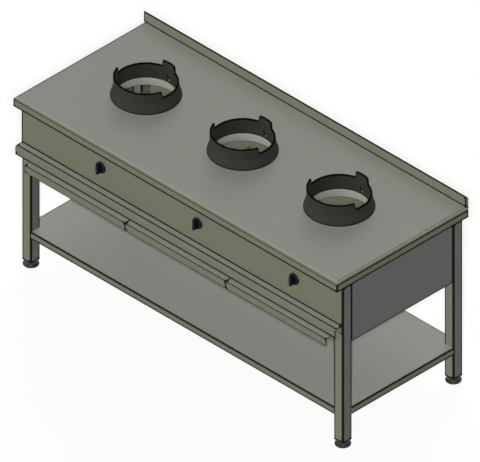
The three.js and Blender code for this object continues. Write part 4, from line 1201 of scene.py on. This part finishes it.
class WOKRANGE_OT_pipes(bpy.types.Operator):
    """Make the gas manifold and the supply tubes"""

    bl_idname = "wok_range.pipes"
    bl_label = "Gas pipes"

    def execute(self, context):
        self.manifold()
        for place, centre in zip(PLACES, burner_centres()):
            self.supply(place, centre[0])
        return {"FINISHED"}

    def manifold(self):
        """A pipe along X with a stub to each tap, and a hollow leg to the rear with an eased elbow."""
        low, high = span("gas_manifold")
        radius, wall, stub_radius, z = PIPE_RADIUS, 2.5 * MM, 9 * MM, middle("gas_manifold")[2]
        valve_rear = span("gas_valve_left")[1][1]
        axis_x, axis_y = low[0] + radius, valve_rear + 9 * MM + radius
        run = eased([[high[0], axis_y], [axis_x, axis_y], [axis_x, high[1]]], 18 * MM, 9, closed=False)
        run = np.column_stack([run, np.full(len(run), z)])
        inside = run[1:][::-1]
        path = np.concatenate([run[:1], run, inside, inside[-1:]])
        ahead = headings(run)
        ahead = np.concatenate([ahead[:1], ahead, ahead[1:][::-1], ahead[1:2]])
        radii = np.concatenate([[0], np.full(len(run), radius), np.full(len(inside), radius - wall), [0]])
        shells = [piped(path, ahead, radii, 32)]
        stub_end = axis_y - 6 * MM
        stub = [[0, valve_rear], [stub_radius, valve_rear], [stub_radius, stub_end], [0, stub_end]]
        for place in PLACES:
            x = middle(f"gas_valve_{place}")[0]
            shells.append(turned(stub, (x, 0, z), 32, "xZy", closed=False))
        put_piece("gas_manifold_pipe", "gas_manifold", shells, "pipe", smooth=50)

    def supply(self, place, x):
        """A bent tube from the tap's outlet to the mixing tube's mouth."""
        node = f"supply_tube_{place}"
        valve_low, valve_high = span(f"gas_valve_{place}")
        mouth, bend = span(f"mixing_tube_{place}")[0][1], 14 * MM
        tap, start_y = (valve_low[0] + valve_high[0]) / 2, valve_low[1] + OUTLET
        start_z = valve_low[2] - GAP
        level = span("burner_beam_rear")[1][2] + TUBE_RISE
        end_y, turn_y = mouth + 4 * MM, mouth - 2 * bend
        knots = [
            (tap, start_y, start_z),
            (tap, start_y, (start_z + level) / 2),
            (tap - bend, start_y + bend / 2, level),
            (x + bend, turn_y - bend / 2, level),
            (x, turn_y + bend / 2, level),
            (x, end_y - bend, level),
            (x, end_y, level),
        ]
        path = centripetal(knots, 6)
        ends = np.concatenate([[0], np.arange(len(path)), [len(path) - 1]])
        radii = np.full(len(ends), 5 * MM)
        radii[[0, -1]] = 0
        shell = piped(path[ends], headings(path)[ends], radii, 16)
        put_piece(f"{node}_pipe", node, [shell], "pipe")


class WOKRANGE_OT_stage(bpy.types.Operator):
    """Make the floor, the soft light and the camera"""

    bl_idname = "wok_range.stage"
    bl_label = "Stage"

    def execute(self, context):
        self.floor(context)
        self.world(context)
        self.lamps(context)
        self.camera(context)
        context.scene.view_settings.view_transform = "Standard"
        return {"FINISHED"}

    def seen(self, tree):
        """One for what the camera sees directly, in a gloss or through glass, and otherwise zero."""
        path = add_node(tree, "ShaderNodeLightPath").outputs
        kinds = {0: path["Is Camera Ray"], 1: path["Is Glossy Ray"]}
        kinds = {0: add_node(tree, MATH, kinds, operation="MAXIMUM"), 1: path["Is Transmission Ray"]}
        return add_node(tree, MATH, kinds, operation="MAXIMUM")

    def floor(self, context):
        """The floor is a mid grey to the object and white to the eye, and keeps a pale shadow."""
        mesh = bpy.data.meshes.new("studio_floor")
        reach, level = 60.0, -0.2 * MM
        grey, lift = 0.36, 0.74
        corners = [(x * reach, y * reach, level) for x, y in ((-1, -1), (1, -1), (1, 1), (-1, 1))]
        mesh.from_pydata(corners, [], [(0, 1, 2, 3)])
        floor = bpy.data.objects.new("studio_floor", mesh)
        context.scene.collection.objects.link(floor)
        made = bpy.data.materials.new("pale_floor")
        made.use_nodes = True
        tree = made.node_tree
        tree.nodes.clear()
        light = add_node(tree, MATH, {0: self.seen(tree), 1: lift}, operation="MULTIPLY")
        base = shade(tuple(context.scene.wok_range_finishes.floor), grey)
        matt = add_node(tree, "ShaderNodeBsdfDiffuse", {"Color": base})
        glow = add_node(tree, "ShaderNodeEmission", {"Color": (1, 1, 1, 1), "Strength": light})
        both = add_node(tree, "ShaderNodeAddShader", {0: matt, 1: glow})
        add_node(tree, "ShaderNodeOutputMaterial", {0: both})
        mesh.materials.append(made)

    def world(self, context):
        """White to the eye, and a dim light on the object that falls off towards the right."""
        world = bpy.data.worlds.new("soft_studio")
        context.scene.world = world
        world.use_nodes = True
        tree = world.node_tree
        tree.nodes.clear()
        direction = add_node(tree, "ShaderNodeTexCoord").outputs["Object"]
        sideways = add_node(tree, "ShaderNodeSeparateXYZ", {0: direction})
        left, right = 0.12, 0.05
        soft = add_node(tree, RANGE, {0: sideways, 1: -1.0, 2: 1.0, 3: left, 4: right})
        strength = add_node(tree, MIX, {0: self.seen(tree), 2: soft, 3: 1.0})
        back = add_node(tree, "ShaderNodeBackground", {"Color": (1, 1, 1, 1), "Strength": strength})
        add_node(tree, "ShaderNodeOutputWorld", {0: back})

    def lamps(self, context):
        """A narrow key light along the line of sight, so that its shadows hide behind the pieces, a
        light on the front that casts none, as the drawing has none, and a weak wide one from behind."""
        for name, towards, strength, spread, shadow in (
            ("key_light", (1.0, -1.0, 1.0), 3.25, 3, True),
            ("front_light", (-0.55, -0.83, 0.0), 1.75, 10, False),
            ("rear_light", (-0.5, 0.68, 0.53), 0.6, 40, True),
        ):
            lamp = bpy.data.lights.new(name, "SUN")
            lamp.energy = strength
            lamp.angle = math.radians(spread)
            lamp.use_shadow = shadow
            holder = bpy.data.objects.new(name, lamp)
            holder.rotation_euler = Vector(towards).to_track_quat("Z", "Y").to_euler()
            context.scene.collection.objects.link(holder)

    def camera(self, context):
        """A parallel view along (1, -1, 1), as an isometric drawing has it."""
        data = bpy.data.cameras.new("isometric_camera")
        width, away, near, far = 1.887, 12.0, 0.1, 200.0
        data.type, data.ortho_scale, data.clip_start, data.clip_end = "ORTHO", width, near, far
        camera = bpy.data.objects.new("isometric_camera", data)
        context.scene.collection.objects.link(camera)
        aim, back = Vector((-0.0025, -0.0025, 0.4415)), Vector((1, -1, 1)).normalized()
        camera.location = aim + back * away
        camera.rotation_euler = back.to_track_quat("Z", "Y").to_euler()
        context.scene.camera = camera


OPERATORS = (
    WOKRANGE_OT_stage,
    WOKRANGE_OT_worktop,
    WOKRANGE_OT_upstand,
    WOKRANGE_OT_legs,
    WOKRANGE_OT_feet,
    WOKRANGE_OT_panels,
    WOKRANGE_OT_rail,
    WOKRANGE_OT_shelf,
    WOKRANGE_OT_trays,
    WOKRANGE_OT_rings,
    WOKRANGE_OT_burners,
    WOKRANGE_OT_taps,
    WOKRANGE_OT_pipes,
)


class WOKRANGE_PT_panel(bpy.types.Panel):
    """Lists the range's sizes, finishes and pieces"""

    bl_idname = "WOKRANGE_PT_panel"
    bl_label = "Wok range"
    bl_space_type = "VIEW_3D"
    bl_region_type = "UI"
    bl_category = "Wok range"

    def draw(self, context):
        for group in (context.scene.wok_range_sizes, context.scene.wok_range_finishes):
            column = self.layout.column(align=True)
            for key in group.__annotations__:
                column.prop(group, key)
        for operator in OPERATORS:
            self.layout.operator(operator.bl_idname)


CLASSES = (WokRangeSizes, WokRangeFinishes, *OPERATORS, WOKRANGE_PT_panel)


def register():
    """Registers the classes and hangs the two groups on the scene."""
    for made in CLASSES:
        bpy.utils.register_class(made)
    bpy.types.Scene.wok_range_sizes = bpy.props.PointerProperty(type=WokRangeSizes)
    bpy.types.Scene.wok_range_finishes = bpy.props.PointerProperty(type=WokRangeFinishes)


def unregister():
    """Takes back what register did."""
    del bpy.types.Scene.wok_range_finishes
    del bpy.types.Scene.wok_range_sizes
    for made in reversed(CLASSES):
        bpy.utils.unregister_class(made)


def main():
    """Registers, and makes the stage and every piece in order."""
    register()
    for operator in OPERATORS:
        group, name = operator.bl_idname.split(".")
        getattr(getattr(bpy.ops, group), name)()


if __name__ == "__main__":
    main()
